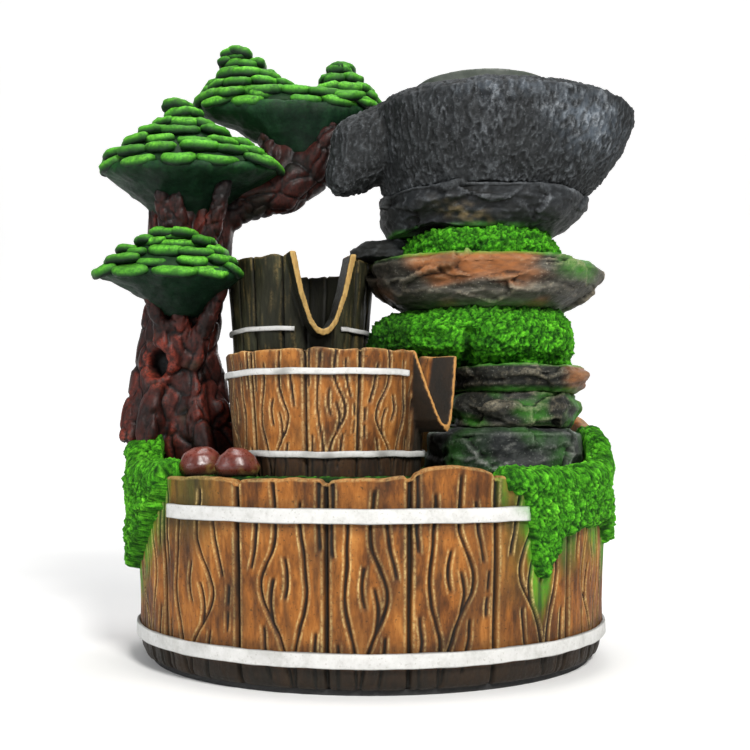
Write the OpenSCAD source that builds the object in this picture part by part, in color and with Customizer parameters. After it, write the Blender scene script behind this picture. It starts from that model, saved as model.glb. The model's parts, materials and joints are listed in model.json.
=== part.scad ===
// Tabletop water fountain: a staved tub that holds the water, a bonsai tree, two spilling
// barrels, a stack of rocks with a stone bowl on top, and the pump, hose and light inside.
// Millimetres. +Z is up, the front faces -Y, and the origin is the middle of the base.

/* [Tub] */
// Half width of the tub, left to right
tub_a = 92; // [88:1:96]
// Half depth of the tub, front to back
tub_b = 86; // [82:1:90]
// Height of the tub's rim at the front
rim_front = 70; // [69:0.5:72]
// Rise of the rim from the front to the back
rim_rise = 24.5; // [20:0.5:28]
// Thickness of the tub's wall
tub_wall = 5.5; // [5:0.5:6]
// Height of the two straps round the tub
strap_h = 5; // [4:0.5:6]

/* [Barrels] */
// Radius of the middle barrel at its rim
mid_r = 38.5; // [36:0.5:39]
// Height of the middle barrel's rim
mid_top = 114; // [112:0.5:116]
// Radius of the upper barrel at its rim
high_r = 31; // [28:0.5:31]
// Height of the upper barrel's rim
high_top = 155.5; // [152:0.5:155.5]
// Thickness of a barrel's staves
stave = 4; // [3:0.5:5]

/* [Hose and light] */
// Outer radius of the riser hose
hose_r = 5.5; // [5:0.1:5.8]
// Radius of the light dish in the stone bowl
dish_r = 29; // [26:0.5:30]

/* [Pump] */
// Radius of the impeller's vanes
vane_r = 9; // [8:0.5:9.5]
// Number of vanes on the impeller
vanes = 6; // [4:1:8]

/* [Hidden] */
$fn = 64;
eps = 0.05;
tub_n = 72;
rock_n = 36;

pad_t = 2;                       // base pad
low_strap_z = 9.5;               // bottom of the lower strap
high_strap_z = 55.5;             // bottom of the upper strap
strap_t = 1.3;
deck_z = 62;                     // underside of the deck, and the ledge that carries it
deck_top = 69.5;
ledge = 2;
floor_z = 7;                     // inside floor of the tub
column = [46, 0];                // line of the riser hose
hose_hole = 6.2;
lead_at = [59.5, 0];             // line of the lamp lead beside the hose
lead_r = 1.1;
lead_hole = 1.6;
mid_at = [-16, -30];
high_at = [-29.5, 12];
mid_foot = 34.5;                 // radius of the middle barrel's foot
high_foot = 28;
high_base = 118;
mid_spout = -20;                 // direction of the middle barrel's spout
high_spout = -72;
bowl_floor = 204;
bowl_shoulder = 214;             // step in the bowl that the light dish rests on
lid_split = [8.5, 37];           // the lid fills the deck's corner past these X and Y
lid_gap = 0.4;
grommet_z = 80;
pump_x = 40;                     // plane where the pump's cover meets its body
pump_z = 24;                     // height of the impeller's axis
axle_r = 1;

// ---- shapes that many parts share ----

function flat(lists) = [for (l = lists) each l];
function middle(ring) = [for (k = [0:2]) [for (p = ring) p[k]] * [for (p = ring) 1] / len(ring)];
function clamp01(x) = min(1, max(0, x));
function smooth(x) = let (s = clamp01(x)) s * s * (3 - 2 * s);

// A level ring: an ellipse with an optional wave of relative height w round it
function ring(cx, cy, z, a, b, n = rock_n, w = 0, k = 3, p = 0) =
    [for (i = [0:n - 1])
        let (t = i * 360 / n, s = 1 + w * sin(k * t + p))
        [cx + a * s * cos(t), cy + b * s * sin(t), z]];

// A ring across a limb that bends in the XZ plane; tilt turns its width away from +X
function limb_ring(c, tilt, wide, deep, n = 28) =
    [for (i = [0:n - 1])
        let (t = -i * 360 / n)
        [c.x + wide * cos(t) * cos(tilt), c.y + deep * sin(t), c.z + wide * cos(t) * sin(tilt)]];

// A closed skin through rings that all have the same number of points
module loft(rings) {
    n = len(rings[0]);
    m = len(rings);
    last = n * m;
    polyhedron(
        points = concat(flat(rings), [middle(rings[0]), middle(rings[m - 1])]),
        faces = concat(
            [for (j = [0:m - 2], i = [0:n - 1])
                [j * n + i, (j + 1) * n + i, (j + 1) * n + (i + 1) % n]],
            [for (j = [0:m - 2], i = [0:n - 1])
                [j * n + i, (j + 1) * n + (i + 1) % n, j * n + (i + 1) % n]],
            [for (i = [0:n - 1]) [last, i, (i + 1) % n]],
            [for (i = [0:n - 1]) [last + 1, (m - 1) * n + (i + 1) % n, (m - 1) * n + i]]));
}

// A level stack of ellipses: each row is [z, x, y, half width, half depth]
module boulder(rows, w = 0.03, k = 3, p = 0) {
    loft([for (r = rows) ring(r[1], r[2], r[0], r[3], r[4], rock_n, w, k, p)]);
}

// The passages for the hose and the lamp lead, through everything from z0 up to z1
module passages(z0, z1) {
    translate([column.x, column.y, z0]) cylinder(r = hose_hole, h = z1 - z0);
    translate([lead_at.x, lead_at.y, z0]) cylinder(r = lead_hole, h = z1 - z0);
}

function oval(a, b, n = tub_n) = [for (i = [0:n - 1]) [a * cos(i * 360 / n), b * sin(i * 360 / n)]];
function oval_arc(a, b, t0, t1, step = 5) = [for (t = [t0:step:t1]) [a * cos(t), b * sin(t)]];

// Part of a band round the tub, from angle t0 to t1
module band(t0, t1, z, h, inner, outer) {
    far = oval_arc(tub_a + outer, tub_b + outer, t0, t1);
    near = oval_arc(tub_a + inner, tub_b + inner, t0, t1);
    back = [for (i = [len(near) - 1:-1:0]) near[i]];
    translate([0, 0, z]) linear_extrude(h) polygon(concat(far, back));
}

// ---- tub ----

// Rim height: level in front, one swollen stave right of the middle, and a climb to the back
function swell(t) = 4.5 * smooth(1 - abs(t - 287) / 16);
function rim_z(t) = rim_front + rim_rise * smooth((tub_b * sin(t) + 40) / 75) + swell(t);
function rim_ring(a, b) =
    [for (i = [0:tub_n - 1]) let (t = i * 360 / tub_n) [a * cos(t), b * sin(t), rim_z(t)]];
function tub_ring(z, in) = ring(0, 0, z, tub_a - in, tub_b - in, tub_n);

tub_outside = [
    tub_ring(pad_t, 5), tub_ring(4.5, 2.8), tub_ring(low_strap_z, 1.5),
    tub_ring(low_strap_z + strap_h, 1.5), tub_ring(high_strap_z, 0),
    tub_ring(high_strap_z + strap_h, 0), rim_ring(tub_a + 0.5, tub_b + 0.5)
];

module tub_shell() {
    loft(concat(tub_outside, [
        rim_ring(tub_a + 0.5 - tub_wall, tub_b + 0.5 - tub_wall),
        tub_ring(deck_z, tub_wall - 0.4), tub_ring(deck_z, tub_wall + ledge),
        tub_ring(floor_z, tub_wall + 4)
    ]));
}

module tub_block() {
    loft(tub_outside);
}

module main_tub() {
    color("peru") difference() {
        tub_shell();
        translate([0, tub_b + 8, grommet_z]) rotate([90, 0, 0]) cylinder(r = 4.5, h = 20);
    }
}

module base_pad() {
    color("dimgray") linear_extrude(pad_t) polygon(oval(tub_a - 6.5, tub_b - 6.5));
}

module tub_lower_hoop() {
    color("gainsboro") translate([0, 0, low_strap_z]) linear_extrude(strap_h) difference() {
        polygon(oval(tub_a - 1.5 + strap_t, tub_b - 1.5 + strap_t));
        polygon(oval(tub_a - 1.5, tub_b - 1.5));
    }
}

// The upper strap shows between the two moss clumps, and again round the back
module tub_upper_hoop() {
    color("gainsboro") {
        band(-140, -55, high_strap_z, strap_h, 0, strap_t);
        band(25, 160, high_strap_z, strap_h, 0, strap_t);
    }
}

module cord_grommet() {
    inside = tub_b - tub_wall - 2.4;
    color([0.08, 0.08, 0.08]) translate([0, inside, grommet_z]) rotate([-90, 0, 0]) difference() {
        union() {
            cylinder(r = 6.5, h = 1.9);
            cylinder(r = 4.5, h = tub_wall + 3.5);
            translate([0, 0, tub_wall + 3.05]) cylinder(r = 6.5, h = 1.4);
        }
        translate([0, 0, -1]) cylinder(r = 2.6, h = tub_wall + 8);
    }
}

// ---- deck inside the tub ----

function deck_outline(gap) = oval(tub_a - tub_wall - gap, tub_b - tub_wall - gap);

module deck_corner(grow) {
    translate([lid_split.x - grow, lid_split.y - grow]) square(100);
}

module pool_hole() {
    translate([30, -56]) rotate(24) square([30, 24], center = true);
}

module moss_deck() {
    lip = 4;
    color("darkgreen") difference() {
        union() {
            translate([0, 0, deck_z]) linear_extrude(deck_top - deck_z) difference() {
                polygon(deck_outline(0.3));
                deck_corner(0);
            }
            translate([0, 0, deck_z]) linear_extrude(3) difference() {
                polygon(deck_outline(0.3));
                deck_corner(-lip);
            }
        }
        translate([0, 0, deck_z - 1]) linear_extrude(12) pool_hole();
        passages(deck_z - 1, deck_top + 1);
    }
}

module pump_lid() {
    color("darkolivegreen") difference() {
        translate([0, 0, deck_z + 0.1]) linear_extrude(deck_top - deck_z - 0.1) intersection() {
            polygon(deck_outline(0.8));
            deck_corner(-lid_gap);
        }
        translate([0, 0, deck_z - 1]) linear_extrude(4.2) difference() {
            deck_corner(2);
            deck_corner(-4 - lid_gap);
        }
        translate([20, tub_b - tub_wall, deck_z - 1]) cylinder(r = 5, h = 12);
    }
}

module lid_pebble() {
    color("dimgray") boulder([
        [deck_top, 40, 56, 9, 6.5], [deck_top + 3, 40, 56, 11, 8],
        [deck_top + 6, 40, 56, 9, 6.5], [deck_top + 8, 40, 56, 4, 3]]);
}

// ---- moss and pebbles on the rim ----

module moss_left() {
    color("limegreen") difference() {
        union() {
            band(-171, -146, 46, 36, -7.5, 6.5);
            band(-171, -156, 36, 12, -1, 5);
        }
        tub_shell();
        linear_extrude(deck_top + eps) polygon(oval(tub_a - 2, tub_b - 2));
    }
}

module moss_right() {
    color("limegreen") difference() {
        union() {
            band(-61, -51, 62, 9, -1, 4);
            band(-54.5, -25, 50, 21, -1, 5.5);
            band(-54.5, -46.5, 34, 16, -1, 4);
            band(-25, 5, 45, 43, -7.5, 6);
        }
        tub_shell();
        linear_extrude(deck_top + eps) polygon(oval(tub_a - 2, tub_b - 2));
    }
}

module pebble(x, y, a, b, h) {
    z = rim_front + 0.2;
    color("brown") boulder([
        [z, x, y, a * 0.8, b * 0.8], [z + h * 0.35, x, y, a, b],
        [z + h * 0.75, x, y, a * 0.8, b * 0.8], [z + h, x, y, a * 0.35, b * 0.35]], 0.04, 3, 40);
}

module pebble_left() pebble(-60.5, -50, 7.4, 6, 9.5);
module pebble_right() pebble(-46, -62, 7.4, 5.5, 9);

// ---- tree ----

module trunk_shape() {
    boulder([
        [deck_top, -66, 10, 19, 17], [84, -76.5, 10, 24, 18.5], [90, -78, 10, 23, 18],
        [99, -80, 10, 20.5, 17], [120, -80.5, 10, 16, 15], [145, -77.5, 10, 15.5, 14],
        [171, -75.8, 10, 17, 15], [181, -74.5, 10, 18, 16]], 0.035, 4, 20);
}

module branch_shape() {
    loft([
        limb_ring([-74, 13, 184], 90, 8, 8), limb_ring([-62, 14, 186], 90, 9.5, 9),
        limb_ring([-49, 14, 187], 90, 10, 9.5), limb_ring([-37, 15, 190], 112, 10.5, 10),
        limb_ring([-30.5, 17, 198], 155, 13.5, 10), limb_ring([-31, 18.5, 208], 180, 17, 10.5),
        limb_ring([-33, 19, 218], 180, 21, 11)]);
}

// The trunk stands inside the tub and spreads over its rim
module tree_trunk() {
    color("saddlebrown") difference() {
        trunk_shape();
        tub_shell();
    }
}

module tree_branch() {
    color("saddlebrown") difference() {
        branch_shape();
        trunk_shape();
    }
}

module outer_root() {
    color("saddlebrown") difference() {
        boulder([
            [31, -90.5, 12, 3, 5], [45, -91.5, 12, 6, 9], [62, -92, 12, 8.5, 12],
            [84, -92.5, 12, 8.5, 10.5]], 0.02, 4, 0);
        tub_block();
        trunk_shape();
    }
}

module crown(rows, p) {
    boulder(rows, 0.045, 7, p);
}

module foliage_low() {
    color("limegreen") difference() {
        crown([[139, -78, -14, 13, 9], [151, -79, -17.5, 31, 17], [157, -78, -17, 27, 15],
               [162, -76, -16, 19, 12], [165.5, -75, -15, 10, 7]], 0);
        trunk_shape();
    }
}

module foliage_middle() {
    color("limegreen") difference() {
        crown([[181, -74, 4, 17, 14], [190, -74, 3, 30, 24], [197, -74.5, 2, 39.5, 30],
               [203, -76, 2, 33, 25], [211, -78.5, 3, 20.5, 16], [217, -80, 4, 12, 10],
               [220.5, -80, 4, 7, 6]], 30);
        branch_shape();
        trunk_shape();
    }
}

module foliage_top_left() {
    color("limegreen") crown([
        [218, -47, 18, 17, 11], [225, -51, 17, 25, 18], [231, -52.5, 17, 26, 19],
        [238, -54, 17, 19, 15], [245, -56, 16, 12, 10], [250, -57, 16, 7, 6]], 10);
}

module foliage_top_right() {
    color("limegreen") crown([
        [218, -20.5, 19, 7.5, 8], [226, -11.5, 18, 12, 13], [232, -10.5, 18, 15, 15],
        [239, -14, 18, 11.5, 11], [246, -17, 18, 7, 7]], 50);
}

// ---- barrels ----

// Outline of a rounded V: half width w at the top and depth d below it
function vee(w, d) = [
    [-w, 0], [-w * 0.72, -d * 0.5], [-w * 0.42, -d * 0.85], [-w * 0.2, -d * 0.97], [0, -d],
    [w * 0.2, -d * 0.97], [w * 0.42, -d * 0.85], [w * 0.72, -d * 0.5], [w, 0]];
function backwards(list) = [for (i = [len(list) - 1:-1:0]) list[i]];

// Runs a V outline, hung from height z, outwards from r0 to r1 in direction dir
module vee_run(dir, r0, r1, z) {
    rotate(dir) translate([r0, 0, z]) rotate([90, 0, 90]) linear_extrude(r1 - r0) children();
}

// A barrel with a V spout cut in its wall and a trough that carries the water clear of it;
// raked cuts the trough's near wall back towards the barrel at the top
module spilling_barrel(at, z0, z1, r0, r1, dir, w, d, reach, raked) {
    lip = 2.6;
    tip = r1 + reach;
    translate([at.x, at.y, 0]) difference() {
        union() {
            translate([0, 0, z0]) cylinder(r1 = r0, r2 = r1, h = z1 - z0);
            vee_run(dir, r1 - stave - 2, tip, z1) polygon(vee(w + lip, d + lip));
        }
        translate([0, 0, z0 + stave]) cylinder(r1 = r0 - stave, r2 = r1 - stave, h = z1 - z0);
        vee_run(dir, 0, tip + 1, z1 + eps) polygon(vee(w, d));
        if (raked) rotate(dir) translate([0, -1, 0]) rotate([90, 0, 0]) linear_extrude(w + 2 * lip)
            polygon([[r1 - 0.6, z1 + 1], [tip - 1, z1 - d], [tip + 1, z1 - d], [tip + 1, z1 + 1]]);
    }
}

// A hoop round a barrel, broken where the spout crosses it
module barrel_hoop(at, z0, z1, r0, r1, z, h, dir, gap) {
    grow = (r1 - r0) / (z1 - z0);
    r_low = r0 + (z - z0) * grow;
    r_high = r_low + h * grow;
    color("gainsboro") translate([at.x, at.y, z]) difference() {
        cylinder(r1 = r_low + 1.1, r2 = r_high + 1.1, h = h);
        translate([0, 0, -eps * 20]) cylinder(
            r1 = r_low + 0.02 - eps * 20 * grow, r2 = r_high + 0.02 + eps * 20 * grow, h = h + eps * 40);
        if (gap > 0) rotate(dir) translate([0, -gap, -1]) cube([2 * r1, 2 * gap, h + 2]);
    }
}

module upper_barrel() {
    color("darkolivegreen")
        spilling_barrel(high_at, high_base, high_top, high_foot, high_r, high_spout, 11, 30, 5, false);
}

module upper_barrel_hoop() {
    barrel_hoop(high_at, high_base, high_top, high_foot, high_r, 125.5, 1.9, high_spout, 9);
}

module middle_barrel() {
    color("peru")
        spilling_barrel(mid_at, deck_top, mid_top, mid_foot, mid_r, mid_spout, 11, 26, 8, true);
}

module middle_barrel_upper_hoop() {
    barrel_hoop(mid_at, deck_top, mid_top, mid_foot, mid_r, 105, 2.3, mid_spout, 14.5);
}

module middle_barrel_lower_hoop() {
    barrel_hoop(mid_at, deck_top, mid_top, mid_foot, mid_r, 76.5, 2.3, mid_spout, 0);
}

module barrel_pedestal() {
    color("dimgray") boulder([
        [deck_top, -25, 33, 27, 22], [95, -25, 32, 25, 20.5], [high_base, -26, 30, 24, 16]]);
}

// ---- rocks ----

module pierced(z0, z1) {
    difference() {
        children();
        passages(z0 - 1, z1 + 1);
    }
}

// Heights where one stone of the stack gives way to the next
foot_top = 87.5;
step_top = 101;
ledge_top = 111;
shelf_base = 133.5;
shelf_top = 153;
neck_base = 164;
bowl_base = 180;

module rock_foot() {
    color("darkslategray") pierced(deck_top, foot_top) boulder([
        [deck_top, 52, -6, 30, 37], [79, 53, -6, 31, 38], [85, 52.5, -6, 30, 37],
        [foot_top, 53, -5, 26, 33]], 0.03, 5, 0);
}

module rock_step() {
    color("darkslategray") pierced(foot_top, step_top) boulder([
        [foot_top, 54, -4, 25, 32], [95, 55.5, -4, 28, 34.5], [step_top, 56, -3, 24.5, 30.5]],
        0.03, 5, 60);
}

module rock_ledge() {
    color("slategray") pierced(step_top, ledge_top) boulder([
        [step_top, 56.5, -3, 25, 31], [104.5, 58.5, -3, 28, 35], [108, 58, -3, 28.5, 36],
        [ledge_top, 56, -3, 27, 34]], 0.02, 6, 20);
}

// Stays clear of the middle barrel below its rim and spreads over it above
module moss_collar_low() {
    color("limegreen") pierced(ledge_top, shelf_base) boulder([
        [ledge_top, 52, 0, 29, 29], [mid_top - 0.1, 51, 0, 30, 29.5],
        [mid_top + 0.6, 46, -2, 33.5, 31.5], [117.5, 44, -3, 36.5, 34], [125, 44.5, -3, 37, 35],
        [130, 46, -2, 35, 32], [shelf_base, 47, -2, 30, 28]], 0.03, 8, 0);
}

module rock_shelf() {
    color("sienna") pierced(shelf_base, shelf_top) boulder([
        [shelf_base, 47, -2, 29, 28], [138, 47, -3, 37, 35], [144, 46.5, -3, 44, 38.5],
        [149.5, 47.5, -3, 45.5, 39.5], [shelf_top, 45, -3, 43, 37]], 0.02, 5, 80);
}

module moss_collar_high_shape() {
    boulder([[shelf_top, 45, -3, 31, 30], [158, 45, -3, 31.5, 31], [neck_base, 44, -3, 28.5, 28]],
        0.03, 8, 30);
}

module moss_collar_high() {
    color("limegreen") pierced(shelf_top, neck_base) moss_collar_high_shape();
}

// Stays clear of the upper barrel below its rim and spreads over it above
module rock_chock() {
    color("black") difference() {
        boulder([[shelf_top, 15, 3, 11, 11], [high_top + 0.2, 15, 3, 12, 12],
                 [high_top + 0.8, 6, 4, 15, 13], [161, 6, 4, 14, 12], [neck_base, 8, 4, 11, 10]],
            0.04, 4, 0);
        moss_collar_high_shape();
    }
}

module rock_neck() {
    color("darkslategray") pierced(neck_base, bowl_base) boulder([
        [neck_base, 39, -3, 32, 26], [169, 42.5, -3, 38, 32], [175, 45, -3, 42, 35],
        [bowl_base, 45.5, -3, 42.5, 35]], 0.02, 5, 10);
}

// Where the gutter inside the beak turns, and where it comes out underneath
gutter_start = [20, -6, 221];
gutter_bend = [-2, -8, 211];
gutter_end = [-10.5, -9.5, 174];

module gutter(from, to, r) {
    hull() {
        translate(from) sphere(r = r, $fn = 24);
        translate(to) sphere(r = r, $fn = 24);
    }
}

// The bowl's body, a drooping beak on its left, and the gutter that feeds the beak
module stone_bowl() {
    color([0.2, 0.21, 0.22]) difference() {
        union() {
            loft([
                ring(46, -2, bowl_base, 40, 34), ring(49, -2, 189, 46, 40), ring(52, -1, 200, 51, 45),
                ring(53, 0, 209, 54, 48), ring(53, 0, 214, 54.5, 48.5),
                ring(51.5, 0, 217.5, 50.5, 44.5), ring(50, 0, 219.5, 45, 39)]);
            hull() {
                translate([8, -7, 205]) sphere(r = 14.5, $fn = 28);
                translate([-5, -9, 201.5]) sphere(r = 11.5, $fn = 28);
                translate([-9.8, -9.5, 188]) sphere(r = 8.4, $fn = 24);
            }
        }
        at_column(bowl_floor) cylinder(r = 27, h = 30);
        at_column(bowl_shoulder) cylinder(r = 33, h = 20);
        passages(bowl_base - 1, bowl_floor + 1);
        gutter(gutter_start, gutter_bend, 4.8);
        gutter(gutter_bend, gutter_end, 4.8);
    }
}

// ---- hose, nozzle and light ----

outlet_z = pump_z + 12;
hose_bore = 4;

module at_column(z) {
    translate([column.x, column.y, z]) children();
}

module riser_hose() {
    color("lightgray") at_column(outlet_z + 3) difference() {
        cylinder(r = hose_r, h = bowl_floor - outlet_z - 3);
        translate([0, 0, -1]) cylinder(r = hose_bore, h = 200);
    }
}

// A sprung wire clip round the hose over the pump's outlet
module hose_clip() {
    color("silver") at_column(outlet_z + 6) {
        difference() {
            cylinder(r = hose_r + 1.2, h = 3);
            translate([0, 0, -1]) cylinder(r = hose_r, h = 5);
            translate([hose_r - 1, -1.2, -1]) cube([4, 2.4, 5]);
        }
        for (side = [-1, 1]) translate([hose_r, side * 2.2 - 0.6, 0]) cube([5, 1.2, 3]);
    }
}

module jet_nozzle() {
    color("whitesmoke") at_column(bowl_floor - 8) difference() {
        union() {
            cylinder(r = hose_bore - 0.05, h = 8);
            translate([0, 0, 8]) cylinder(r = 6.5, h = 2);
            translate([0, 0, 9]) cylinder(r1 = 5, r2 = 3.2, h = 11);
        }
        translate([0, 0, -1]) cylinder(r = 2, h = 30);
    }
}

module led_ring() {
    color("white") at_column(bowl_floor) difference() {
        cylinder(r = 17, h = 4.5);
        translate([0, 0, -1]) cylinder(r = 6.8, h = 8);
        translate([0, 0, 2.5]) difference() {
            cylinder(r = 16, h = 4);
            translate([0, 0, -1]) cylinder(r = 8, h = 6);
        }
    }
}

module led_emitters() {
    color("gold") at_column(bowl_floor + 2.5) for (i = [0:5]) rotate(i * 60 + 30)
        translate([12, 0, 0]) cylinder(r = 1.6, h = 1.4);
}

module led_lens() {
    color([0.9, 0.95, 1, 0.5]) at_column(bowl_floor + 4.5) difference() {
        cylinder(r = 17, h = 2);
        translate([0, 0, -1]) cylinder(r = 6.8, h = 4);
    }
}

module led_lead() {
    color([0.1, 0.1, 0.1]) translate([lead_at.x, lead_at.y, pump_z + 14 + 2])
        cylinder(r = lead_r, h = bowl_floor - pump_z - 16);
}

// A loose dish on the bowl's shoulder, with a hole for the jet and six grooves that let
// the water out under its flange
module light_dish() {
    base = bowl_shoulder - 3;
    rim = 226;
    color([0.55, 0.6, 0.53]) at_column(0) difference() {
        rotate_extrude() polygon([
            [9, base + 2], [9, base], [22, base], [24, bowl_shoulder], [32, bowl_shoulder],
            [32, bowl_shoulder + 2], [dish_r - 1, bowl_shoulder + 2.5], [dish_r, rim],
            [dish_r - 2.5, rim], [dish_r - 4, bowl_shoulder + 4], [21, base + 2]]);
        for (i = [0:5]) rotate(i * 60) translate([21, -3, bowl_shoulder - 1]) cube([14, 6, 2]);
    }
}

// ---- pump ----

// Turns a child that stands on +Z to lie along +X on the pump's axis, from x
module along_pump(x) {
    translate([x, column.y, pump_z]) rotate([0, 90, 0]) children();
}

module pump_body() {
    wide = 30;
    deep = 28;
    color("black") difference() {
        union() {
            translate([pump_x + 12, -wide / 2, pump_z - deep / 2]) cube([26, wide, deep]);
            along_pump(pump_x) cylinder(r = 14, h = 13);
            at_column(pump_z) cylinder(r = hose_bore - 0.05, h = outlet_z - pump_z + 14);
            at_column(pump_z) cylinder(r = 5.4, h = outlet_z - pump_z + 2);
        }
        along_pump(pump_x - 1) cylinder(r = 11, h = 10.5);
        along_pump(pump_x + 9) cylinder(r = 6, h = 24);
        along_pump(pump_x + 30) cylinder(r = axle_r, h = 6);
        at_column(pump_z) cylinder(r = 2.8, h = 40);
    }
}

module volute_cover() {
    color("black") difference() {
        union() {
            along_pump(pump_x - 2) difference() {
                cylinder(r = 14, h = 2);
                translate([0, 0, -1]) cylinder(r = 5, h = 4);
            }
            along_pump(pump_x - 2) {
                cylinder(r = 2.2, h = 2);
                for (i = [0:2]) rotate(i * 120) translate([1, -0.7, 0]) cube([4.6, 1.4, 2]);
            }
        }
        along_pump(pump_x - 0.8) cylinder(r = axle_r, h = 3);
        cover_screw_places() translate([0, 0, -4]) cylinder(r = 0.9, h = 8);
    }
}

module cover_screw_places() {
    for (i = [0:2]) along_pump(pump_x - 2) rotate(i * 120 + 60) translate([12.5, 0, 0]) children();
}

module cover_screws() {
    color("silver") cover_screw_places() {
        translate([0, 0, -1]) cylinder(r = 1.4, h = 1);
        translate([0, 0, -eps]) cylinder(r = 0.85, h = 2);
    }
}

module impeller() {
    color("royalblue") difference() {
        union() {
            along_pump(pump_x + 1) cylinder(r = 3.2, h = 9);
            along_pump(pump_x + 9.2) cylinder(r = 5.4, h = 20);
            along_pump(pump_x + 1) for (i = [0:vanes - 1]) rotate(i * 360 / vanes)
                translate([2.5, -0.6, 0]) cube([vane_r - 2.5, 1.2, 7]);
        }
        along_pump(pump_x - 1) cylinder(r = axle_r + 0.05, h = 36);
    }
}

module pump_shaft() {
    color("white") along_pump(pump_x - 0.8) cylinder(r = axle_r, h = 36.8);
}

module intake_grille() {
    color([0.15, 0.15, 0.15]) difference() {
        along_pump(pump_x - 9) difference() {
            cylinder(r = 14, h = 7);
            translate([0, 0, 1.6]) cylinder(r = 12.5, h = 7);
            for (i = [0:1]) rotate(i * 180 - 22) dial_window();
            translate([0, 0, -1]) cylinder(r = 0.9, h = 4);
        }
        for (i = [-3:3]) translate([pump_x - 6.6, i * 3.4 - 0.9, pump_z - 20]) cube([3.4, 1.8, 40]);
        cover_screw_places() translate([0, 0, -1.6]) cylinder(r = 1.8, h = 2);
    }
}

// A sector window, 44 degrees wide, between the dial's pivot and its rim
module dial_window() {
    translate([0, 0, -1]) rotate_extrude(angle = 44) translate([3.2, 0]) square([5, 4]);
}

module flow_dial() {
    color("orangered") along_pump(pump_x - 10.6) difference() {
        union() {
            cylinder(r = 9.5, h = 1.5);
            translate([8.5, -1.5, 0]) cube([4, 3, 1.5]);
            translate([10.5, -1.5, -2]) cube([2, 3, 2]);
        }
        for (i = [0:1]) rotate(i * 180 - 22) dial_window();
        translate([0, 0, -1]) cylinder(r = 1.25, h = 4);
    }
}

module dial_screw() {
    color("silver") along_pump(pump_x - 11.8) {
        cylinder(r = 2.4, h = 1.1);
        translate([0, 0, 1]) cylinder(r = 1.2, h = 1.8);
        translate([0, 0, 2.7]) cylinder(r = 0.85, h = 1.8);
    }
}

module suction_cups() {
    color("dimgray") for (x = [pump_x + 17, pump_x + 33], y = [-9, 9])
        translate([x, y, floor_z]) {
            cylinder(r1 = 5, r2 = 2, h = 2);
            translate([0, 0, 2 - eps]) cylinder(r = 2, h = pump_z - 14 - floor_z - 2 + eps);
        }
}

module pump_gland() {
    color([0.08, 0.08, 0.08]) translate([pump_x + 32, 0, pump_z + 14]) {
        cylinder(r = 4, h = 3);
        translate([0, 0, 3]) cylinder(r1 = 3.4, r2 = 2.6, h = 6);
    }
    color([0.08, 0.08, 0.08]) translate([lead_at.x, lead_at.y, pump_z + 14]) cylinder(r = 2.4, h = 2);
}

// ---- what is drawn ----

base_pad();
main_tub();
tub_lower_hoop();
tub_upper_hoop();
cord_grommet();
moss_deck();
moss_left();
moss_right();
pebble_left();
pebble_right();
tree_trunk();
tree_branch();
outer_root();
foliage_low();
foliage_middle();
foliage_top_left();
foliage_top_right();
barrel_pedestal();
upper_barrel();
upper_barrel_hoop();
middle_barrel();
middle_barrel_upper_hoop();
middle_barrel_lower_hoop();
rock_foot();
rock_step();
rock_ledge();
moss_collar_low();
rock_shelf();
moss_collar_high();
rock_chock();
rock_neck();
stone_bowl();
pump_lid();
lid_pebble();
pump_body();
volute_cover();
cover_screws();
impeller();
pump_shaft();
intake_grille();
flow_dial();
dial_screw();
suction_cups();
pump_gland();
riser_hose();
hose_clip();
jet_nozzle();
led_ring();
led_emitters();
led_lens();
led_lead();
light_dish();
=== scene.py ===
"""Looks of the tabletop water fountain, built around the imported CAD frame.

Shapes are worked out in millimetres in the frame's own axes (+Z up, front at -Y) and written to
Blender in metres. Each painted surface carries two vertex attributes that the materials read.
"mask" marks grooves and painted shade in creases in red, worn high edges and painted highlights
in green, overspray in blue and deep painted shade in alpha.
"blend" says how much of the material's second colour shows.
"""
import json
import math
from itertools import product
from types import SimpleNamespace

import bpy
import bmesh
import numpy as np
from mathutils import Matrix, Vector


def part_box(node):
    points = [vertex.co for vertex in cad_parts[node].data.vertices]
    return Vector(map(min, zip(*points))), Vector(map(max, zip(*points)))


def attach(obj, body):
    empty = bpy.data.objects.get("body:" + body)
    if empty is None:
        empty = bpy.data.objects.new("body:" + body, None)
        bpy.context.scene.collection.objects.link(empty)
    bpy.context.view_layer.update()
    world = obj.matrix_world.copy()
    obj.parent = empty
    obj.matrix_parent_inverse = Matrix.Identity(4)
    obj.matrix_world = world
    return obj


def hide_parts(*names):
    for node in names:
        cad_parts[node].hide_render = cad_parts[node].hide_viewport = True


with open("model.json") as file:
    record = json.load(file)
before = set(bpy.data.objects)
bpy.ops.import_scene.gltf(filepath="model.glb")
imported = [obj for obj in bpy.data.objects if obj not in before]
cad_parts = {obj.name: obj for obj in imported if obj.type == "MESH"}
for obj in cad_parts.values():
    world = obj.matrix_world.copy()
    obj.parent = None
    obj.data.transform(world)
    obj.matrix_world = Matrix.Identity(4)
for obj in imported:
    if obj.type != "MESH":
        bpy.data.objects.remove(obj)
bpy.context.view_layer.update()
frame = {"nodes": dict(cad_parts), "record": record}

MM = 0.001
ROOT = "fountain"

# ---------------------------------------------------------------- camera, lights and floor

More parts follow.
